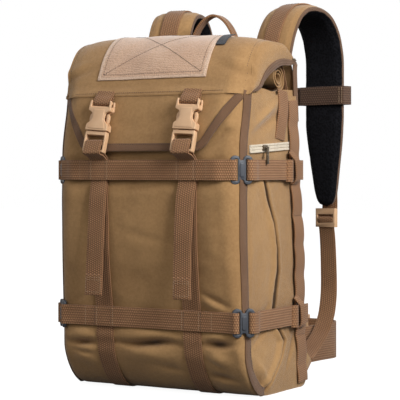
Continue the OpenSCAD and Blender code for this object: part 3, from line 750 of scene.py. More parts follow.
def lidPoint(across, along):
    # across -1..1 over the top, beyond 1 down the side gusset; along 0 at the hinge to 1 at the front seam
    i = along * 59
    low = int(min(i, 58))
    top = lidRoute[low] + (lidRoute[low + 1] - lidRoute[low]) * (i - low)
    edge = gussetRoute[low] + (gussetRoute[low + 1] - gussetRoute[low]) * (i - low)
    side = 1 if across >= 0 else -1
    a = abs(across)
    x = min(a, 1.0) * lid["half"]
    front = smoothStep(0.35, 1.0, along)
    back = 1 - smoothStep(0.0, 0.25, along)
    corner = smoothStep(0.80, 1.0, min(a, 1.0))
    sag = dict(front=17, seam=0, back=48, drop=9) if side > 0 else dict(front=6, seam=10, back=20, drop=6)
    settle = corner * corner * (sag["front"] * front + sag["seam"] * smoothStep(0.8, 1.0, along)
                                + sag["back"] * back)
    drop = 3.4 * smoothStep(0.55, 1.0, min(a, 1.0)) ** 2 * (1 - front) + 2.2 * corner * (1 - 0.4 * front)
    drop += sag["drop"] * corner * corner * back
    fall = -3.0 * side * min(a, 1.0) * (1 - front) * hump(along, 0.35, 0.3)
    bulge = 2.6 * (1 - min(a, 1.0) ** 2) * math.sin(math.pi * along)
    normal = Vector((0, -0.75 * front + 0.55 * back, 1 - 0.7 * front)).normalized()
    point = Vector((side * x, top[1] + settle * (1 if along > 0.3 else -0.4), top[2] - drop + fall))
    wave1 = 1.5 * wander(x * side, top[1], top[2], 48, 2.2) + 0.6 * wander(x * side, top[1], top[2], 17, 6.1)
    crease = -1.9 * hump(along - 0.0016 * (x - 134), 0.86, 0.022) * smoothStep(82, 118, x)
    crease += 1.5 * hump(along - 0.0016 * (x - 134), 0.80, 0.03) * smoothStep(80, 118, x)
    crease -= 1.2 * hump(along, 0.93, 0.02) * (0.4 + 0.6 * hump(x, 60, 30))
    shift = bulge + wave1 + crease
    if a <= 1.0:
        return point + normal * shift, crease * 0.8
    t = min(a - 1.0, 1.0)
    seam = point + normal * shift
    low = Vector((side * lid["half"], edge[1], edge[2]))
    belly = 4.5 * math.sin(math.pi * min(t * 0.9 + 0.1, 1.0)) * (0.4 + 0.6 * math.sin(math.pi * along))
    belly += 1.0 * wander(top[1], t * 30, side * 4, 24, 7.7)
    point = seam.lerp(low, t)
    point.x = side * (lid["half"] - 1.2 + 1.4 * smoothStep(0, 0.25, t) + belly)
    return point, -1.2 * hump(t, 0.04, 0.05) + 0.5 * hump(t, 0.5, 0.3)


lidColumns = lid["columns"] + 2 * lid["gusset"]


def lidPlace(u, v):
    k = u * lidColumns
    if k < lid["gusset"]:
        across = -1 - (lid["gusset"] - k) / lid["gusset"]
    elif k > lidColumns - lid["gusset"]:
        across = 1 + (k - lidColumns + lid["gusset"]) / lid["gusset"]
    else:
        across = -1 + 2 * (k - lid["gusset"]) / lid["columns"]
    return lidPoint(across, 1 - v)


lidCloth = gridPiece("lidCloth", lidColumns, lid["rows"], lambda u, v: lidPlace(u, v)[0], (0.38, 0.235),
                     folds=lambda u, v: lidPlace(u, v)[1])
applyModifier(lidCloth, "SUBSURF", levels=1, render_levels=1)
turnOutwards(lidCloth)
lineWall(lidCloth, lid["wall"])
finishPiece(lidCloth, "lid", None, 50)
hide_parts("lid_top")

flap = dict(topHalf=131.5, lowHalf=92.0, topZ=370.5, lowZ=301.0, tape=9.0)


def flapPoint(x, z, lift=0.0):  # the flap hangs from the seam over the bag's front
    down = max((flap["topZ"] - z) / (flap["topZ"] - flap["lowZ"]), 0.0)
    base = -76.8 - 13.2 * down ** 0.9
    over = smoothStep(96, 134, abs(x))
    y = base + 17 * over ** 1.6
    ripple = 1.3 * wander(x, z, 11, 40, 9.1) + 0.45 * wander(x, z, 4, 14, 3.3)
    ripple += 1.3 * hump(z - 0.5 * (abs(x) - 110), 352, 7) * smoothStep(88, 118, abs(x))
    ripple -= 1.1 * hump(z - 0.35 * x, 330, 8) * hump(x, 24, 18)
    return Vector((x, y - ripple * (0.25 + 0.75 * smoothStep(0, 0.2, down)) - lift, z))


def flapEdge():  # down one slanted side, round the corners and along the bottom
    right = [(flap["lowHalf"] - 12, flap["lowZ"] + 1), (flap["lowHalf"] - 2, flap["lowZ"] + 7),
             (flap["topHalf"] - 2.2, flap["topZ"] - 3.3)]
    slope = [(-x, z) for x, z in reversed(right)] + right
    result = []
    for a, b in zip(slope, slope[1:]):
        result += inSteps(a, b, max(3, int(math.dist(a, b) / 5)))[:-1]
    return result + [slope[-1]]


def flapPlace(u, v):
    z = flap["lowZ"] + (flap["topZ"] - flap["lowZ"]) * v
    half = np.interp(z, [301, 302, 308, 370.5], [80.0, 83.5, 90.0, 131.5])
    return flapPoint((2 * u - 1) * half, z)


# the flap's fold value: random tone, and darker along its top under the front seam
lidFlap = gridPiece("lidFlap", 72, 26, flapPlace, (0.26, 0.07),
                    folds=lambda u, v: 1.6 * wander(u * 200, v * 70, 0, 34, 9.1) - 2.0 * hump(v, 0.98, 0.03))
giveThickness(lidFlap, 1.8, 0.4)
finishPiece(lidFlap, "lid", khaki)
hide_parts("lid_flap")

edgePoints = flapEdge()


def tapeRoute(points, inset, lift):
    result = []
    for i, (x, z) in enumerate(points):
        a, b = points[max(i - 1, 0)], points[min(i + 1, len(points) - 1)]
        d = Vector((b[0] - a[0], b[1] - a[1])).normalized()
        result.append(flapPoint(x - d.y * inset, z + d.x * inset, lift))
    return result


def edgeTape(name, outer, inner, thick, columns=3):
    rows = len(outer) - 1

    def place(u, v):
        i = int(round(v * rows))
        return outer[i].lerp(inner[i], u)

    length = sum((a - b).length for a, b in zip(outer, outer[1:]))
    piece = gridPiece(name, columns, rows, place, ((outer[0] - inner[0]).length * mm, length * mm))
    return giveThickness(piece, thick, 0.3)


tapeFaces = (("Front", (-0.4, 1.4), (flap["tape"], 1.6), 1.0), ("Back", (-0.6, -1.3), (flap["tape"], -1.3), 0.8),
             ("Edge", (-0.6, 1.5), (-0.6, -1.5), 0.8))
lidTape = joinPieces("lidTape", [
    edgeTape("flapTape" + part, tapeRoute(edgePoints, *outer), tapeRoute(edgePoints, *inner), thick)
    for part, outer, inner, thick in tapeFaces])
finishPiece(lidTape, "lid", bindingTape)
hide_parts("lid_binding")
threadRun("lidTapeStitch", tapeRoute(edgePoints, flap["tape"] - 1.4, 2.2)[::3], "lid", "brown_binding",
          normal=(0, -1, 0.1))

for side, word in sides:
    steps = 34
    outer = [lidPoint(side * 2.0, i / steps)[0] + Vector((side * 0.9, 0, -0.8)) for i in range(steps + 1)]
    inner = [lidPoint(side * 1.72, i / steps)[0] + Vector((side * 1.0, 0, 0)) for i in range(steps + 1)]
    tape = edgeTape("gussetTape" + word, outer, inner, 1.0)
    finishPiece(tape, "lid", bindingTape)
    seam = [lidPoint(side * 1.0, i / 30)[0] + Vector((-side * 1.5, 0, -0.9)) for i in range(1, 31)]
    piping = strapPiece("lidPiping" + word, seam, 1.6, 1.4, (side, 0, 0.3), 60, 3)
    finishPiece(piping, "lid", khaki)
    top = [lidPoint(side * 0.955, i / 30)[0] + Vector((0, -0.1, 0.1)) for i in range(1, 31)]
    threadRun("lidSeamStitch" + word, top, "lid", "khaki_fabric", normal=(0, -0.4, 1))
seamRoll = [flapPoint(x, 371.0, 1.0) for x in np.linspace(-130, 130, 60)]
frontSeam = strapPiece("lidFrontSeam", seamRoll, 2.6, 1.5, (0, 0, 1), 90, 3)
finishPiece(frontSeam, "lid", khaki)
threadRun("lidFrontStitch", [flapPoint(x, 374.5, -0.4) for x in np.linspace(-126, 126, 40)], "lid",
          "khaki_fabric", normal=(0, -1, 0.4))

patch = dict(half=79.5, top=0.36, low=0.885)


def patchPoint(u, v, lift):
    x = (2 * u - 1) * patch["half"]
    along = patch["low"] + (patch["top"] - patch["low"]) * v
    here = lidPoint(x / lid["half"], along)[0]
    ahead = lidPoint(x / lid["half"], along + 0.01)[0]
    n = Vector((1, 0, 0)).cross(here - ahead).normalized()
    return here + n * lift


patchPile = gridPiece("loopPatchPile", 46, 40, lambda u, v: patchPoint(0.03 + 0.94 * u, 0.035 + 0.93 * v, 1.0
                      + 0.25 * wander(u * 160, v * 90, 0, 4, 1.0)), (0.15, 0.1))
giveThickness(patchPile, 1.2)
finishPiece(patchPile, "lid", loopPile)
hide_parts("loop_patch")
borderParts = []
square = [(0, 0), (1, 0), (1, 1), (0, 1), (0, 0)]
for number, (a, b) in enumerate(zip(square, square[1:])):
    ends = inSteps(a, b, 30)
    inward = (0.035 if a[0] == b[0] and a[0] == 0 else -0.035 if a[0] == b[0] else 0,
              0.05 if a[1] == b[1] and a[1] == 0 else -0.05 if a[1] == b[1] else 0)
    outer = [patchPoint(u, v, 0.9) for u, v in ends]
    inner = [patchPoint(min(max(u + inward[0], 0), 1), min(max(v + inward[1], 0), 1), 1.0) for u, v in ends]
    borderParts.append(edgeTape(f"patchBorder{number}", outer, inner, 1.0, 2))
patchBorder = joinPieces("loopPatchBorder", borderParts)
patchEdge = pileCloth("patch_border", (0.72, 0.49, 0.33), (0.78, 0.55, 0.39), (0.48, 0.30, 0.19))
finishPiece(patchBorder, "lid", patchEdge)
frameStitch = [(0.05, 0.07), (0.95, 0.07), (0.95, 0.93), (0.05, 0.93), (0.05, 0.07)]
for number, (a, b) in enumerate(zip(frameStitch, frameStitch[1:])):
    line = [patchPoint(u, v, 1.75) for u, v in inSteps(a, b, 20)]
    threadRun(f"patchStitch{number}", line, "lid", "loop_fabric", normal=(0, -0.6, 0.8))
for number, (a, b) in enumerate((((0.05, 0.07), (0.95, 0.93)), ((0.95, 0.07), (0.05, 0.93)))):
    line = [patchPoint(u, v, 1.8) for u, v in inSteps(a, b, 24)]
    threadRun(f"patchCross{number}", line, "lid", "loop_fabric", normal=(0, -0.6, 0.8), pitch=2.8)

tagRoute = [lidPoint(x / lid["half"], along)[0] + Vector((0, 0, rise)) for x, along, rise in
            ((88, 0.50, 2.4), (87.5, 0.55, 2.8), (87, 0.60, 2.8), (86.5, 0.655, 2.2))]
lidTag = strapPiece("lidTag", tagRoute, 13, 1.1, (1, 0, 0), 14, 5)
finishPiece(lidTag, "lid", tagTape)
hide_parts("lid_tag")
print("lid done")


riser = dict(half=130.0, low=356.0, high=433.0, wall=2.0)
riserPanel = gridPiece("backRiser", 40, 16, lambda u, v: (
    (2 * u - 1) * (riser["half"] - 6 * v ** 3), rearY(riser["low"] + (riser["high"] - riser["low"]) * v) - 1.6
    - 2.2 * abs(2 * u - 1) ** 6 + 0.7 * wander(u * 260, v * 70, 3, 40, 2.0),
    riser["low"] + (riser["high"] - riser["low"]) * v - 9 * abs(2 * u - 1) ** 10 * v), (0.26, 0.077),
    folds=lambda u, v: 1.2 * wander(u * 260, v * 77, 0, 26, 1.3))
giveThickness(riserPanel, riser["wall"], 0.4)
finishPiece(riserPanel, "bag", khaki)

roll = dict(y=34.0, z=394.0, radius=17.0, pitch=4.6, turns=2.5, half=126.5, wall=1.5)


def rollPlace(u, v):
    if v > 0.8:  # the tail that runs down inside the back panel
        t = (v - 0.8) / 0.2
        y = roll["y"] + 32 * t
        z = roll["z"] - roll["radius"] - 2 * math.sin(math.pi * t) + 2 * t
        a = -math.pi / 2
        sag = 0.0
    else:
        turn = (0.8 - v) / 0.8 * roll["turns"] * 2 * math.pi
        r = roll["radius"] - roll["pitch"] * turn / (2 * math.pi)
        a = -math.pi / 2 + turn
        y, z = roll["y"] + r * math.cos(a), roll["z"] + r * math.sin(a) * 0.96
        sag = 1.0
    x = (2 * u - 1) * (roll["half"] - 2.0 * sag * (0.5 + 0.5 * math.sin(a * 1.0 + 0.6)))
    y += 0.7 * wander(x, v * 90, 2, 28, 5.0)
    return Vector((x, y, z + 0.5 * wander(x, v * 120, 7, 22, 1.0)))


rollCloth = gridPiece("rollTopCloth", 48, 70, rollPlace, (0.253, 0.25),
                      folds=lambda u, v: wander(u * 250, v * 200, 0, 30, 4))
giveThickness(rollCloth, roll["wall"])
finishPiece(rollCloth, "bag", khaki)
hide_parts("roll_collar")

collar = dict(low=352.0, lip=379.0, inset=3.4, wall=1.5)


def collarPlace(u, v):
    k = u * shellColumns
    z = collar["low"] + (collar["lip"] - collar["low"]) * v
    point, _ = sectionPoint(k, min(z, 371.0))
    point.z = z
    middle = Vector((0, 0, z))
    away = (point - middle)
    away.z = 0
    point -= away.normalized() * (collar["inset"] + 1.5 * v)
    point.y = max(point.y, -66.5 + 1.5 * v)
    point.y = min(point.y, rearY(z) - 5.5)
    dip = 2.2 * hump(point.y, 10, 18) * smoothStep(90, 120, abs(point.x))
    point.z += v * (1.6 * wander(point.x, point.y, 0, 38, 3.3) - dip)
    return point


collarSleeve = gridPiece("collarSleeve", 150, 10, collarPlace, (0.74, 0.027),
                         folds=lambda u, v: 1.5 * wander(u * 600, v * 30, 0, 30, 3))
mergeDoubles(collarSleeve)
turnOutwards(collarSleeve)
giveThickness(collarSleeve, collar["wall"])
finishPiece(collarSleeve, "bag", khaki)

for side, word in sides:
    over = [(-9, 372), (-12, 384)] + arc(34, 394, 20.5, 172, 8, 10)[3:] + [(62, 380), (66, 366)]
    webStrap("rollStrap" + word, inYz(side * 113.5, over), acrossX, 44, width=22, thick=1.5)
    riserEdge = [(side * 131.2, rearY(z) - 4 + 0.25 * max(0, z - 405), z) for z in (340, 355, 370, 385, 398, 408,
                                                                                    414)]
    riserTape = strapPiece("riserTape" + word, riserEdge, 9, 1.4, (0.12 * side, 1, 0), 30, 4)
    finishPiece(riserTape, "bag", bindingTape)
print("riser and roll done")

frontStrap = dict(width=25.0, lift=1.7, stitchY=-102.6)

bottomTurn = [(-54.8, 18.6), (-46.2, 10.0), (-37, 3.6), (-28, 1.3), (-16, 1.0)]
for side, word in sides:
    x = side * bag["straps"]
    down = [(onFront(x, z, frontStrap["lift"]).y, z) for z in (291, 270, 245, 215, 185, 155, 130, 112, 94, 80, 70,
                                                               60, 50, 40, 30)]
    baseStrap = webStrap("baseStrap" + word, inYz(x, down + bottomTurn), acrossX, 110)
    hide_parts("base_straps")
    tail = [(-88.1, 291.2), (-88.1, 263.5), (-92.6, 243), (-96.6, 198), (-98.6, 151), (-99.9, 121.5)]
    tailRoute = [(x + 0.8 * math.sin(i * 1.1 + side), y, z) for i, (y, z) in enumerate(tail)]
    tailStrap = strapPiece("tailStrap" + word, tailRoute, frontStrap["width"], 1.8,
                           [acrossX, (1, 0.03 * side, 0), (1, -0.05, 0), (1, 0.04, 0)], 90)
    tailFold = strapPiece("tailFold" + word, [(x + 0.7, -100.6, 148), (x + 0.6, -101.4, 134), (x + 0.5, -101.7, 122)],
                          frontStrap["width"] - 0.5, 1.7, (1, -0.02, 0), 14)
    tailPiece = joinPieces("strapTail" + word, [tailStrap, tailFold])
    finishPiece(tailPiece, "bag", webbing)
    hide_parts("strap_tails")
    for number, z in enumerate((144, 141, 126)):
        line = [(x + dx, frontStrap["stitchY"] + 0.02 * (z - 122), z) for dx in (-10.5, 0, 11)]
        webTack(f"tailStitch{word}{number}", line, pitch=3.2, material=paleThread)
    for number, dx in enumerate((-10.5, 11)):
        line = [(x + dx, -102.3, 144), (x + dx, -102.6, 135), (x + dx, -102.7, 126)]
        webTack(f"tailSide{word}{number}", line, pitch=3.2, material=paleThread)
print("front straps done")

belts = dict(mid=dict(z=278.0, y=-90.1, near=(123.0, -78.6), far=(137.85, -63.7)),
             low=dict(z=94.0, y=-77.1, near=(125.0, -76.6), far=(139.85, -61.7)), ring=3.8, sag=1.5)
webAcross = (-11.5, 0, 11.5)

hookHalf = [(-3.6, -15.2, 3), (1.0, -18.0, 2.5), (7.4, -16.2, 2), (8.0, -12.0, 2), (12.4, -12.0, 2), (13.4, -16.2, 3),
            (18, -18.2, 4), (23.8, -15.0, 5)]
hookOutline = roundedOutline(hookHalf + [(24.4, 0, 8)] + [(x, -y, r) for x, y, r in reversed(hookHalf)], 2.0)
hook = dict(thick=4.4, rounding=1.1, ridge=2.2)
hookSlotNear = boxOutline(1.7, -13.0, 5.2, 13.0, 1.2)
hookSlotFar = boxOutline(15.8, -13.0, 19.3, 13.0, 1.2)
hookRidge = boxOutline(7.6, -8.5, 13.6, 8.5, 2.4)

for level, belt in (("Mid", belts["mid"]), ("Low", belts["low"])):
    z, y, (px, py) = belt["z"], belt["y"], belt["near"]
    lead = math.degrees(math.atan2(py - belts["ring"] - y, 18))
    ahead = Vector((math.cos(deg(lead)), math.sin(deg(lead))))
    half = [(0, y + belts["sag"]), (22, y + belts["sag"] * 0.9), (42, y + belts["sag"] * 0.4), (54, y), (74, y),
            (86, y + 0.6), (px - 19, y + 0.2), (px - 8, (y + py - belts["ring"]) / 2 + 0.6)]
    ring = arc(px, py, belts["ring"], lead - 90, lead + 90, 8)
    inner = Vector(ring[-1])
    back = [tuple(inner - 5 * ahead), tuple(inner - 10 * ahead + Vector((0, -1.2)))]
    right = half + ring + back
    left = [(-a, b) for a, b in reversed(right)]
    route = left[:-1] + right
    beltPiece = webStrap("frontBelt" + level, inXy(z, route), acrossZ, 260)
    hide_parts("front_belt_" + level.lower())
    for number, at in enumerate((50.6, 53.4, 74.6, 77.4, 92.0)):
        for side, word in sides:
            line = [(side * at, y - 1.05 + (0.7 if at > 80 else 0.1), z + dz) for dz in webAcross]
            webTack(f"beltTack{level}{number}{word}", line, pitch=2.4, length=2.0,
                    material=darkThread if number % 2 else paleThread)
    qx, qy = belt["far"]
    rear = rearY(z) - 16
    for side, word in sides:
        inner = [(135.2, qy + 17), (135.4, qy + 9)] + arc(qx, qy, belts["ring"], 172, 362, 9)
        outer = [(qx + 3.4, qy + 10), (137.0, qy + 24), (136.7, qy + 45), (137.0, qy + 75), (136.9, rear - 20),
                 (137.6, rear), (136.6, rear + 14)]
        route = [(side * a, b, z) for a, b in inner + outer]
        sideBelt = webStrap("sideBelt" + level + word, route, acrossZ, 150, None)
        body = f"hook_{level.lower()}_{word.lower()}"
        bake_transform(sideBelt)
        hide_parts("side_belts_" + word.lower())
        for number, at in enumerate((rear - 3, rear - 12)):
            line = [(side * 137.8, at, z + dz) for dz in webAcross]
            webTack(f"sideTack{level}{word}{number}", line, normal=(side, 0, 0), pitch=2.4, length=2.0)
        fold = [(side * a, rear + b, z - 1.0) for a, b in ((136.6, -32.5), (139.2, -31.6), (141.3, -28),
                                                           (141.2, -23.5), (139.0, -19.6), (136.8, -18.6))]
        webStrap("beltFold" + level + word, fold, width=28, thick=1.9)
        keeper = [(side * a, rear + b, z + c) for a, b, c in ((135.6, -20, 24), (138.4, -17, 19), (142.0, -13, 12),
                                                             (142.8, -11, 0), (141.8, -10, -12), (136.2, -10, -18))]
        webStrap("beltKeeper" + level + word, keeper, acrossY, width=13, thick=1.7, columns=4)
        a = math.sqrt(0.5)
        seat = Matrix(((a, 0, a, px * mm), (a, 0, -a, py * mm), (0, 1, 0, z * mm), (0, 0, 0, 1)))
        lashing = joinPieces("lashingHook" + level + word, [
            cutPlate("hookPlate", [hookOutline, hookSlotNear, hookSlotFar], hook["thick"], hook["rounding"], seat),
            cutPlate("hookRidge", [hookRidge], hook["ridge"], 0.7,
                     seat @ Matrix.Translation((0, 0, hook["ridge"] * mm)))])
        if side < 0:
            lashing.data.transform(Matrix.Diagonal((-1, 1, 1, 1)))
            lashing.data.flip_normals()
        finishPiece(lashing, body, darkPlastic, 35)
        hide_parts(body)
print("belts and hooks done")

sideSet = dict(tape=12.0, wrap=(4.0, 9.0, 13.0), columnLow=7.0, columnHigh=366.0, loop=38.0)
zipSet = dict(rear=46.0, front=-57.0, height=303.6, climb=5.0 / 94, width=9.6, lip=3.7, lipWidth=2.6, coil=2.8)
heights = [372 - 6 * i for i in range(49)] + [78, 72, 66, 60, 54, 48, 42, 36, 30, 25, 20, 16, 12, 8, 5, 3, 1.5]


def columnBow(z):  # the side column stands out between the two belts
    return 2.4 * math.sin(math.pi * smoothStep(94, 278, z))


def edgeLine(z):
    return Vector((-frontReach(z) + planCorner(z), z))


def seamPoint(i, back, lift, side):  # on the edge seam's row i, back millimetres behind the tape's front edge
    z = heights[i]
    here = edgeLine(z)
    d = (edgeLine(heights[min(i + 1, len(heights) - 1)]) - edgeLine(heights[max(i - 1, 0)])).normalized()
    n = Vector((-d.y, d.x))
    n = n if n.x > 0 else -n
    r = planCorner(z)
    ahead = float(np.interp(z, [78, 112, 190], sideSet["wrap"])) - back
    if ahead <= 0:
        far = here - n * ahead
        return onSide(far.x, max(far.y, 1.2), lift, side)
    at = here - n * (r + lift) * math.sin(ahead / r)
    return Vector((side * (bag["half"] - r + (r + lift) * math.cos(ahead / r)), at.x, max(at.y, 1.2)))


for side, word in sides:
    tapeRun = len(heights) - 1
    tape = gridPiece("edgeBinding" + word, 6, tapeRun, lambda u, v: seamPoint(
        round((1 - v) * tapeRun), u * sideSet["tape"], 0.85, side), (sideSet["tape"] * mm, 0.42))
    giveThickness(tape, 1.2, 0.3)
    finishPiece(tape, "bag", bindingTape)
    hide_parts("edge_bindings")
    line = [seamPoint(i, 0.84 * sideSet["tape"], 1.6, side) for i in range(0, len(heights), 3)]
    threadRun("edgeStitch" + word, line, "bag", "brown_binding", normal=(side, 0, 0), pitch=3.6)

    column = []
    for i in range(60):
        z = sideSet["columnLow"] + (sideSet["columnHigh"] - sideSet["columnLow"]) * i / 59
        puff = 2.0 * abs(math.sin((z - 30) / sideSet["loop"] * math.pi)) ** 0.7 + columnBow(z)
        column.append((side * (133.7 + puff), rearY(z) - 20.5, z))
    loops = webStrap("sideColumn" + word, column, acrossY, 150)
    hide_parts("side_webbing")
    for number in range(9):
        z = 30 + sideSet["loop"] * number
        line = [(side * (134.9 + columnBow(z)), rearY(z) - 20.5 + dy, z) for dy in webAcross]
        webTack(f"columnTack{word}{number}", line, normal=(side, 0, 0), length=2.1)
    collarRoute = [(side * a, b, c) for a, b, c in ((134.0, 20.5, 316), (135.4, 22.8, 332), (136.2, 26.5, 350),
                                                    (134.6, 29.8, 366), (132.4, 31.0, 378))]
    collarStrap = webStrap("collarStrap" + word, collarRoute, (0, 1, -0.1), 50)
    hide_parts("collar_straps")
    zipLine = [(y, zipSet["height"] + zipSet["climb"] * (y + 48))
               for y in np.linspace(zipSet["front"], zipSet["rear"], 12)]
    parts = []
    for name, dz, width, lift in (("Tape", 0, zipSet["width"], 0.9), ("LipHigh", zipSet["lip"], zipSet["lipWidth"], 1.9),
                                  ("LipLow", -zipSet["lip"], zipSet["lipWidth"], 1.9)):
        route = [(onSide(y, z, lift, side).x, y, z + dz) for y, z in zipLine]
        parts.append(strapPiece("zip" + name + word, route, width, 1.0, acrossZ, 60, 4))
    tapes = joinPieces("zipTape" + word, parts)
    finishPiece(tapes, "bag", zipTape)
    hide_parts("zip_tapes")
    route = [(onSide(y, z, 1.65, side).x, y, z) for y, z in zipLine]
    coil = strapPiece("zipCoil" + word, route, zipSet["coil"], 1.3, acrossZ, 100, 4)
    finishPiece(coil, "bag", zipTape)
    lowerWord = word.lower()
    refinedNode("zip_slider_" + lowerWord, "zipSlider" + word, 0.4, zipMetal, "zip_" + lowerWord, 0.5)
    pull = refinedNode("zip_pull_" + lowerWord, "zipPull" + word, 0.25, zipMetal, "pull_" + lowerWord,
                       0.5)
    middle = Matrix.Translation((sum(v.co.x for v in pull.data.vertices) / len(pull.data.vertices), 0, 0))
    # narrowed to stand clear of the slider as it lifts
    pull.data.transform(middle @ Matrix.Diagonal((0.8, 1, 1, 1)) @ middle.inverted())

    # rear corner wing: a cloth triangle with the lower strap's webbing sewn along it
    parts = []
    for number, x in enumerate((104.6, 127.4)):
        parts.append(gridPiece(f"wing{number}", 8, 8, lambda u, v, x=x: (
            side * (x + (1.0 if x > 116 else -1.0) * math.sin(math.pi * u) * math.sin(math.pi * v) * 1.2),
            101.5 + (121.0 - 101.5) * u - 1.0 * v * (1 - u), (13 + 14.5 * u) + (34.5 - 29.5 * u) * v), (0.03, 0.035)))
        giveThickness(parts[-1], 1.4)
    wing = joinPieces("cornerWing" + word, parts)
    finishPiece(wing, "bag", khaki)
    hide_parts("corner_anchors")
    wingRoute = [(101, 49), (106, 45), (114, 38.5), (121.4, 32.3), (122.0, 29.5), (120.5, 26.8), (112, 19.5),
                 (104.5, 12.8)]
    webStrap("wingStrap" + word, inYz(side * 116, wingRoute), acrossX, 60, thick=1.6)
print("sides done")

buckle = dict(top=(-84.5, 364.0), lean=13.0, bar=2.0, lock=54.0, low=66.0)
leanSin, leanCos = math.sin(deg(buckle["lean"])), math.cos(deg(buckle["lean"]))


def onBuckle(l, n):
    return (buckle["top"][0] - l * leanSin + n * leanCos, buckle["top"][1] - l * leanCos - n * leanSin)


def buckleFrame(side, lift=0.0):
    place = Matrix(((1, 0, 0, side * bag["straps"] * mm), (0, leanSin, -leanCos, buckle["top"][0] * mm),
                    (0, leanCos, leanSin, buckle["top"][1] * mm), (0, 0, 0, 1)))
    return place @ Matrix.Translation((0, 0, lift * mm))


def twistBuckle(piece, side):  # the buckles hang a little crooked on their webbing
    y, z = onBuckle(56, 0)
    pivot = Matrix.Translation((side * bag["straps"] * mm, y * mm, z * mm))
    spin = Matrix.Rotation(deg(-4.2 if side < 0 else -3.0), 4, Vector((0, -leanCos, leanSin)))
    piece.data.transform(pivot @ spin @ pivot.inverted())


def rod(name, a, b, radius):  # a rounded bar between two points, in millimetres
    a, b = Vector(a), Vector(b)
    clearSelection()
    bpy.ops.mesh.primitive_cylinder_add(vertices=20, radius=radius * mm, depth=(b - a).length * mm)
    piece = bpy.context.object
    piece.name = name
    applyModifier(piece, "BEVEL", width=radius * 0.3 * mm, segments=2, limit_method="ANGLE", angle_limit=deg(50))
    turn = (b - a).to_track_quat("Z", "Y").to_matrix().to_4x4()
    piece.data.transform(Matrix.Translation((a + b) / 2 * mm) @ turn)
    return piece


def crossBar(name, x, along, half):
    return rod(name, (x - half, *onBuckle(along, 0)), (x + half, *onBuckle(along, 0)), 1.7)


def bothHalves(right):  # an outline's right half, then its mirror image
    return right + [(-x, *rest) for x, *rest in reversed(right)]


femaleFace = roundedOutline(bothHalves([
    (13.2, -8.2, 1.2), (13.2, 0.0, 0.9), (15.0, 0.6, 0.9), (16.0, -3, 1.5), (16.4, -12.8, 1.6), (12.0, -14.6, 1.2),
    (9.6, -16.5, 1.5), (9.2, -23.5, 2.0), (12.6, -28.5, 2.0), (16.0, -30.5, 2.0), (16.2, -38.4, 1.2)]), 1.0)
headBlock = roundedOutline(bothHalves([(15.6, -7.0), (15.6, -13.2)]), 1.6)
raisedPanel = roundedOutline(bothHalves([(8.2, -11.5, 1.6), (7.6, -24, 3), (11.5, -31, 3), (12.5, -36.2, 1.5)]), 2.0)
prongOutline = roundedOutline([
    (8.4, -41), (8.4, -33), (10.8, -27), (10.4, -20), (10.4, -16.8, 0.8), (12.6, -15.8, 1.0), (14.6, -18.5, 1.6),
    (15.0, -24, 3), (13.8, -29, 2), (12.2, -33, 2), (12.4, -41, 1)], 1.2)
ladderOutline = roundedOutline(bothHalves([(15.2, -39.2, 1.0), (16.0, -44, 2), (16.0, -65.8, 1.6)]), 1.5)
ladderWindow = roundedOutline(bothHalves([(13.3, -44.2), (13.3, -62.4)]), 1.2)

for side, word in sides:
    low = word.lower()
    x = side * bag["straps"]
    parts = [cutPlate("femaleFront", [femaleFace], 3.0, 0.8, buckleFrame(side, 3.9)),
             cutPlate("femaleRear", [femaleFace], 3.0, 0.8, buckleFrame(side, -3.9)),
             cutPlate("femaleHead", [headBlock], 8.4, 0.6, buckleFrame(side)),
             cutPlate("femaleRaise", [raisedPanel], 1.4, 0.5, buckleFrame(side, 5.2)),
             cutPlate("femaleSideA", [boxOutline(15.1, -37.8, 16.1, -31.2, 0.4)], 8.0, 0.3, buckleFrame(side)),
             cutPlate("femaleSideB", [boxOutline(-16.1, -37.8, -15.1, -31.2, 0.4)], 8.0, 0.3, buckleFrame(side)),
             crossBar("femaleBar", x, buckle["bar"], 14.5)]
    female = joinPieces("buckleFemale" + word, parts)
    twistBuckle(female, side)
    finishPiece(female, "lid", tanPlastic, 35)
    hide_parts("buckle_female_" + low)
    parts = [cutPlate("prongA", [prongOutline], 4.2, 1.0, buckleFrame(side)),
             cutPlate("prongB", [[(-a, b) for a, b in reversed(prongOutline)]], 4.2, 1.0, buckleFrame(side)),
             cutPlate("tongue", [boxOutline(-1.6, -41, 1.6, -23, 0.8)], 3.2, 0.7, buckleFrame(side)),
             cutPlate("ladder", [ladderOutline, ladderWindow], 7.4, 1.0, buckleFrame(side)),
             crossBar("ladderBar", x, buckle["lock"], 14.6)]
    male = joinPieces("buckleMale" + word, parts)
    twistBuckle(male, side)
    finishPiece(male, "buckle_" + low, tanPlastic, 35)
    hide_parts("buckle_male_" + low)

    halfTurn = [(3.6 * math.sin(deg(a)), 3.6 * math.cos(deg(a))) for a in range(0, 181, 30)]
    loop = [onBuckle(buckle["bar"] + l, -n) for l, n in halfTurn]
    tabRoute = [(-78.6, 377), (-82.2, 371.5), (-86.2, 367.0)] + loop + [(-81.5, 366), (-79.2, 371)]
    tab = strapPiece("buckleTab" + word, inYz(x, tabRoute), 25, 1.7, acrossX, 70)
    twistBuckle(tab, side)
    finishPiece(tab, "lid", webbing)
    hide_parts("buckle_tabs")

    ladderRoute = [(-86.3, 281), (-86.4, 291), onBuckle(buckle["low"], 6.2), onBuckle(58.5, 5.2)]
    ladderRoute += [onBuckle(buckle["lock"] - l, n) for l, n in halfTurn]
    ladderRoute += [onBuckle(58.5, -4.9), onBuckle(64.0, -5.8), onBuckle(68.5, -5.6), (-97.5, 296.0), (-90.2, 290.8),
                    (-88.2, 281)]
    ladder = webStrap("ladderStrap" + word, inYz(x, ladderRoute), acrossX, 130, None)
    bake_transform(ladder)
    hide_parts("ladder_strap_" + low)
print("buckles done")

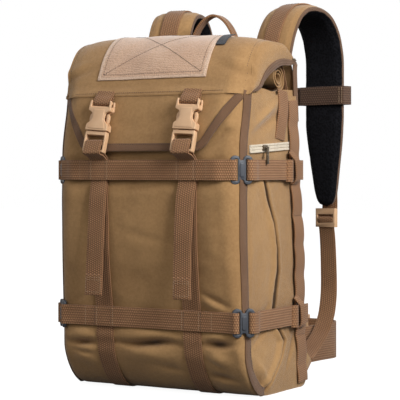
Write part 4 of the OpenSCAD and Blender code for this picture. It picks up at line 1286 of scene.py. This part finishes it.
handle = dict(width=16.0, thick=3.0, y=92.6)
handleRoute = [(34, 394), (36.5, 410), (35.6, 424), (32.5, 445), (27, 461), (17, 475), (5, 482.6)]
handleRoute = handleRoute + [(-a, b) for a, b in reversed(handleRoute)]
haulHandle = webStrap("haulHandle", [(x, handle["y"] + 0.8 * math.sin(x / 20), z) for x, z in handleRoute], acrossY,
                      120, "handle", handle["width"], handle["thick"],
                      taper=lambda v: 1 - 0.12 * math.sin(math.pi * v))
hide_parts("haul_handle")

shoulder = dict(width=62.0, thick=14.0, x=80.0, y=98.87, turn=11.0)
shoulderPath = [(98.9, 378), (99.9, 400), (102.9, 424), (111, 452), (123, 474), (138, 487), (156, 491), (176, 489),
                (194, 480), (207, 464), (214, 446), (218, 426), (218, 394), (218, 362), (218, 330), (220, 280),
                (222, 228)]
turnSin, turnCos = math.sin(deg(shoulder["turn"])), math.cos(deg(shoulder["turn"]))
shoulderLine, shoulderRun = smoothRoute(inYz(0, shoulderPath), 120)
shoulderAhead = np.gradient(shoulderLine, axis=0)
shoulderAhead /= np.linalg.norm(shoulderAhead, axis=1)[:, None]


def inShoulder(side, x, y, z):
    return Vector((side * (shoulder["x"] + x * turnCos + (y - shoulder["y"]) * turnSin),
                   shoulder["y"] - x * turnSin + (y - shoulder["y"]) * turnCos, z))


def alongShoulder(side, v, x, n):  # v along the strap, x across it and n out from its middle
    i = min(max(v, 0), 1) * 119
    low = int(min(i, 118))
    p = shoulderLine[low] + (shoulderLine[low + 1] - shoulderLine[low]) * (i - low)
    t = shoulderAhead[low] + (shoulderAhead[low + 1] - shoulderAhead[low]) * (i - low)
    return inShoulder(side, x, p[1] - t[2] * n, p[2] + t[1] * n)


def shoulderShare(v):
    return 1.0 - 0.42 * smoothStep(0.72, 1.0, v) - 0.06 * (1 - smoothStep(0.0, 0.08, v))


def shoulderPlace(side):
    def place(u, v):
        a = 2 * math.pi * u
        end = (1 - abs(2 * v - 1) ** 24) ** 0.5 if 0 < v < 1 else 0.0
        c, s = math.cos(a), math.sin(a)
        x = math.copysign(abs(c) ** 0.42, c) * shoulder["width"] / 2 * shoulderShare(v)
        n = math.copysign(abs(s) ** 0.72, s) * shoulder["thick"] / 2 * (0.93 + 0.05 * math.cos(x / 12))
        n -= 0.9 * hump(abs(x), 27 * shoulderShare(v), 2.2) * (1 if s > 0 else -1)
        n += 0.35 * wander(x, v * 400, side * 3, 26, 2.0)
        if s < -0.2:
            n += 0.5 * max(0.0, math.cos(v * 52)) ** 6
        return alongShoulder(side, v, x * end, n * end)
    return place


print("shoulder routes ready")
for side, word in sides:
    low = word.lower()
    pad = gridPiece("shoulderPad" + word, 48, 118, shoulderPlace(side), (0.15, shoulderRun * mm))
    kinds = []
    uvs = pad.data.uv_layers.active.data
    for face in pad.data.polygons:
        u = sum(uvs[k].uv.x for k in face.loop_indices) / len(face.loop_indices) / 0.15
        s = math.sin(2 * math.pi * u)
        kinds.append(0 if s > 0.36 else 2 if s < -0.22 else 1)
    for finish in (khaki, bindingTape, blackMesh):
        pad.data.materials.append(finish)
    pad.data.polygons.foreach_set("material_index", kinds)
    mergeDoubles(pad)
    turnOutwards(pad)
    finishPiece(pad, "shoulder_" + low, None, 50)
    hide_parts("shoulder_strap_" + low)

    steps = 90
    route = [alongShoulder(side, 0.06 + 0.94 * i / steps, 0,
                           shoulder["thick"] / 2 + 0.9 + 0.5 * abs(math.sin(i * 0.21))) for i in range(steps)]
    route += [inShoulder(side, 0, y, z) for y, z in ((229.6, 226), (228.4, 219), (225.6, 213.5), (221.5, 215.5),
                                                     (221.0, 222))]
    strap = webStrap("shoulderWebbing" + word, route, (side * turnCos, -turnSin, 0), 200, "shoulder_" + low)
    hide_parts("shoulder_webbing_" + low)
    for number, v in enumerate((0.12, 0.3, 0.44, 0.80, 0.9)):
        line = [alongShoulder(side, v, x, shoulder["thick"] / 2 + 2.4) for x in (-11, 0, 11)]
        webTack(f"shoulderTack{word}{number}", line, "shoulder_" + low, (0, 0.6, 0.8), length=2.0)
    refinedNode("ladder_lock_" + low, "ladderLock" + word, 0.7, tanPlastic, "shoulder_" + low)

    top = inShoulder(1, 0, 222, 212)
    lowerRoute = []
    for y, z in ((224.4, 216.5), (219.6, 214.5), (216.2, 211), (217.4, 204), (219.0, 190), (218.7, 170), (216.5, 145),
                 (212, 120), (205, 101), (196, 84), (185, 70), (172, 58), (146, 42), (124, 30.8)):
        x = top.x + (116 - top.x) * max(0, 212 - z) / 182 + 2.6 * hump(z, 80, 40)
        lowerRoute.append((side * x, y, z))
    lowerStrap = webStrap("lowerStrap" + word, lowerRoute, [(side * 0.98, -0.19, 0), (side, -0.1, 0), (side, 0, 0)],
                          130, None)
    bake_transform(lowerStrap)
    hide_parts("lower_strap_" + low)
print("shoulder straps done")

sternum = dict(z=379.0, half=36.9, inner=209.4, outer=228.5, cross=219.2)
bands = []
for side, word in sides:
    plan = roundedOutline([(-sternum["half"], sternum["inner"]), (sternum["half"], sternum["inner"]),
                           (sternum["half"], sternum["outer"]), (-sternum["half"], sternum["outer"])], 3.0, 4)
    longer = []
    for a, b in zip(plan, plan[1:] + plan[:1]):
        longer += inSteps(a, b, max(1, int(math.dist(a, b) / 6)))[:-1]
    start = 2
    ringRoute = [inShoulder(side, x, y, sternum["z"]) for x, y in longer[start:] + longer[:start + 1]]
    bands.append(strapPiece("sternumBand" + word, ringRoute, 25, 1.8, acrossZ, smooth=False))
crossRoute = [(x, sternum["cross"] + (0.2 if abs(x) > 60 else 0.0)) for x in (-66, -50, -30, 0, 30, 50, 66)]
cross = strapPiece("sternumCross", inXy(sternum["z"], crossRoute), 25, 1.8, acrossZ, 50)
sternumPiece = joinPieces("sternumStrap", bands + [cross])
# the sternum strap takes the darker webbing copy, which is painted shade
finishPiece(sternumPiece, "sternum", shadedWebbing)
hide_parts("sternum_strap")
for side, word in sides:
    for number, x in enumerate((35.2, 31.0)):
        line = [inShoulder(side, x, sternum["inner"] - 1.1, sternum["z"] + dz) for dz in (-11, 0, 11)]
        webTack(f"sternumTack{word}{number}", line, "sternum", material=paleThread)
refinedNode("sternum_buckle", "sternumBuckle", 0.9, tanPlastic, "sternum")

waist = dict(z=42.0, width=50.0, thick=2.2)
waistRoute = [(86, 104), (87.5, 122), (90, 150), (96, 190), (98.6, 220), (99, 250), (95.5, 265), (88.5, 277.5),
              (78, 285), (67, 287.7), (59, 288), (50, 288), (40, 288), (30, 288)]
for side, word in sides:
    route = [(side * x, y, waist["z"] + 0.9 * math.sin(y / 31 + side) * (1 - smoothStep(230, 275, y)))
             for x, y in waistRoute]
    belt = webStrap("waistBelt" + word, route, [acrossZ, (side * 0.05, 0, 1), acrossZ, acrossZ], 140, "waist_belt",
                    waist["width"], waist["thick"], 10)
    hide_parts("waist_belt_" + word.lower())
    for number, at in enumerate((0.03, 0.07)):
        y = 104 + 400 * at * 0.3
        line = [(side * (87.8 + 0.02 * (y - 104)), y, waist["z"] + dz) for dz in (-22, -8, 8, 22)]
        webTack(f"waistTack{word}{number}", line, "waist_belt", (side, 0, 0), 2.6)
refinedNode("waist_female", "waistFemale", 1.2, tanPlastic, "waist_belt")
refinedNode("waist_male", "waistMale", 1.0, tanPlastic, "waist_clip")
print("harness done")


def paddedSlab(name, x, width, lowZ, highZ, thick, material, node, channels):
    def place(u, v):
        a = 2 * math.pi * u
        c, s = math.cos(a), math.sin(a)
        end = (1 - abs(2 * v - 1) ** 14) ** (1 / 2.6) if 0 < v < 1 else 0.0
        w = width / 2 * (1 - abs(2 * v - 1) ** 26) ** 0.5 if 0 < v < 1 else 0.0
        across = math.copysign(abs(c) ** 0.34, c) * w
        z = lowZ + (highZ - lowZ) * v
        rise = thick * 0.5 * (1 + math.copysign(abs(s) ** 0.6, s)) if s > 0 else thick * 0.5 * (1 - abs(s) ** 0.4)
        rise *= 0.25 + 0.75 * end
        if s > 0:
            rise -= 1.7 * hump(abs(across), width / 2 - 6.5, 1.9)
            rise -= 1.8 * hump((v * channels) % 1.0, 0.5, 0.07) * smoothStep(0.25, 0.6, s)
            rise += 0.35 * wander(across, z, 2, 20, 6.0)
        return Vector((x + across, rearY(z) + 0.35 + rise, z))

    piece = gridPiece(name, 44, 90, place, (2.2 * width * mm, (highZ - lowZ) * mm))
    mergeDoubles(piece)
    turnOutwards(piece)
    finishPiece(piece, "bag", material, 50)
    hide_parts(node)


for side, word in sides:
    paddedSlab("backPad" + word, side * 58, 78, 100, 318, 12, blackMesh, "back_pads", 5)
paddedSlab("lumbarPad", 0, 150, 26, 92, 15.5, blackMesh, "back_pads", 2)
paddedSlab("yokePad", 0, 230, 326, 397, 10.8, khaki, "yoke", 2)
for node, finish in (("frame_sheet", sheetPlastic), ("frame_stays", stayMetal)):
    mesh = frame["nodes"][node].data
    mesh.materials.clear()
    mesh.materials.append(finish)
print("pads done")


studio = dict(azimuth=31, distance=2.0, eye=0.278, lens=140.4, shift=(0.0525, -0.075), world=0.31, floor=0.94,
              aim=(0, 0.03, 0.22))

clearSelection()
bpy.ops.mesh.primitive_plane_add(size=14)
studioFloor = bpy.context.object
studioFloor.name = "studioFloor"
floorPaint, floorTree, floorShader = newMaterial("floor_paint", (0.12, 0.12, 0.12), 0.8)
rays = addNode(floorTree, "ShaderNodeLightPath")
grainAt = addNode(floorTree, "ShaderNodeTexCoord").outputs["Object"]
bumpOnto(floorTree, floorShader, noiseAt(floorTree, grainAt, 60.0), 0.0002, 0.2)
floorTree.links.new(mathNode(floorTree, "MULTIPLY", rays.outputs["Is Camera Ray"], studio["floor"]),
                    floorShader.inputs["Emission Strength"])
floorShader.inputs["Emission Color"].default_value = (1, 1, 1, 1)
studioFloor.data.materials.append(floorPaint)

room = bpy.data.worlds.new("studioRoom")
bpy.context.scene.world = room
room.use_nodes = True
roomTree = room.node_tree
rays = addNode(roomTree, "ShaderNodeLightPath")
seen = mathNode(roomTree, "MAXIMUM", rays.outputs["Is Camera Ray"],
                mathNode(roomTree, "MAXIMUM", rays.outputs["Is Glossy Ray"], rays.outputs["Is Transmission Ray"]))
background = roomTree.nodes["Background"]
background.inputs["Color"].default_value = (1, 1, 1, 1)
roomTree.links.new(rangeNode(roomTree, seen, 0.0, 1.0, studio["world"], 1.0), background.inputs["Strength"])


def softLight(name, azimuth, height, distance, size, power):
    a, e = deg(azimuth), deg(height)
    lamp = bpy.data.lights.new(name, "AREA")
    lamp.size = size
    lamp.energy = power
    holder = bpy.data.objects.new(name, lamp)
    bpy.context.scene.collection.objects.link(holder)
    aim = Vector(studio["aim"])
    holder.location = aim + distance * Vector((math.sin(a) * math.cos(e), -math.cos(a) * math.cos(e), math.sin(e)))
    holder.rotation_euler = (aim - holder.location).to_track_quat("-Z", "Y").to_euler()


softLight("keyLight", azimuth=68, height=28, distance=1.5, size=0.6, power=21.5)
softLight("fillLight", azimuth=-15, height=30, distance=2.8, size=1.8, power=10.3)
softLight("rearLight", azimuth=190, height=35, distance=2.8, size=1.6, power=9.0)
softLight("topLight", azimuth=20, height=80, distance=2.4, size=1.4, power=1.8)

lens = bpy.data.cameras.new("studioCamera")
lens.lens = studio["lens"]
lens.sensor_width = 36
lens.shift_x, lens.shift_y = studio["shift"]
camera = bpy.data.objects.new("studioCamera", lens)
bpy.context.scene.collection.objects.link(camera)
turn = deg(studio["azimuth"])
camera.location = (studio["distance"] * math.sin(turn), -studio["distance"] * math.cos(turn), studio["eye"])
camera.rotation_euler = (deg(90), 0, turn)
bpy.context.scene.camera = camera
bpy.context.scene.view_settings.view_transform = "Standard"
print("studio done")
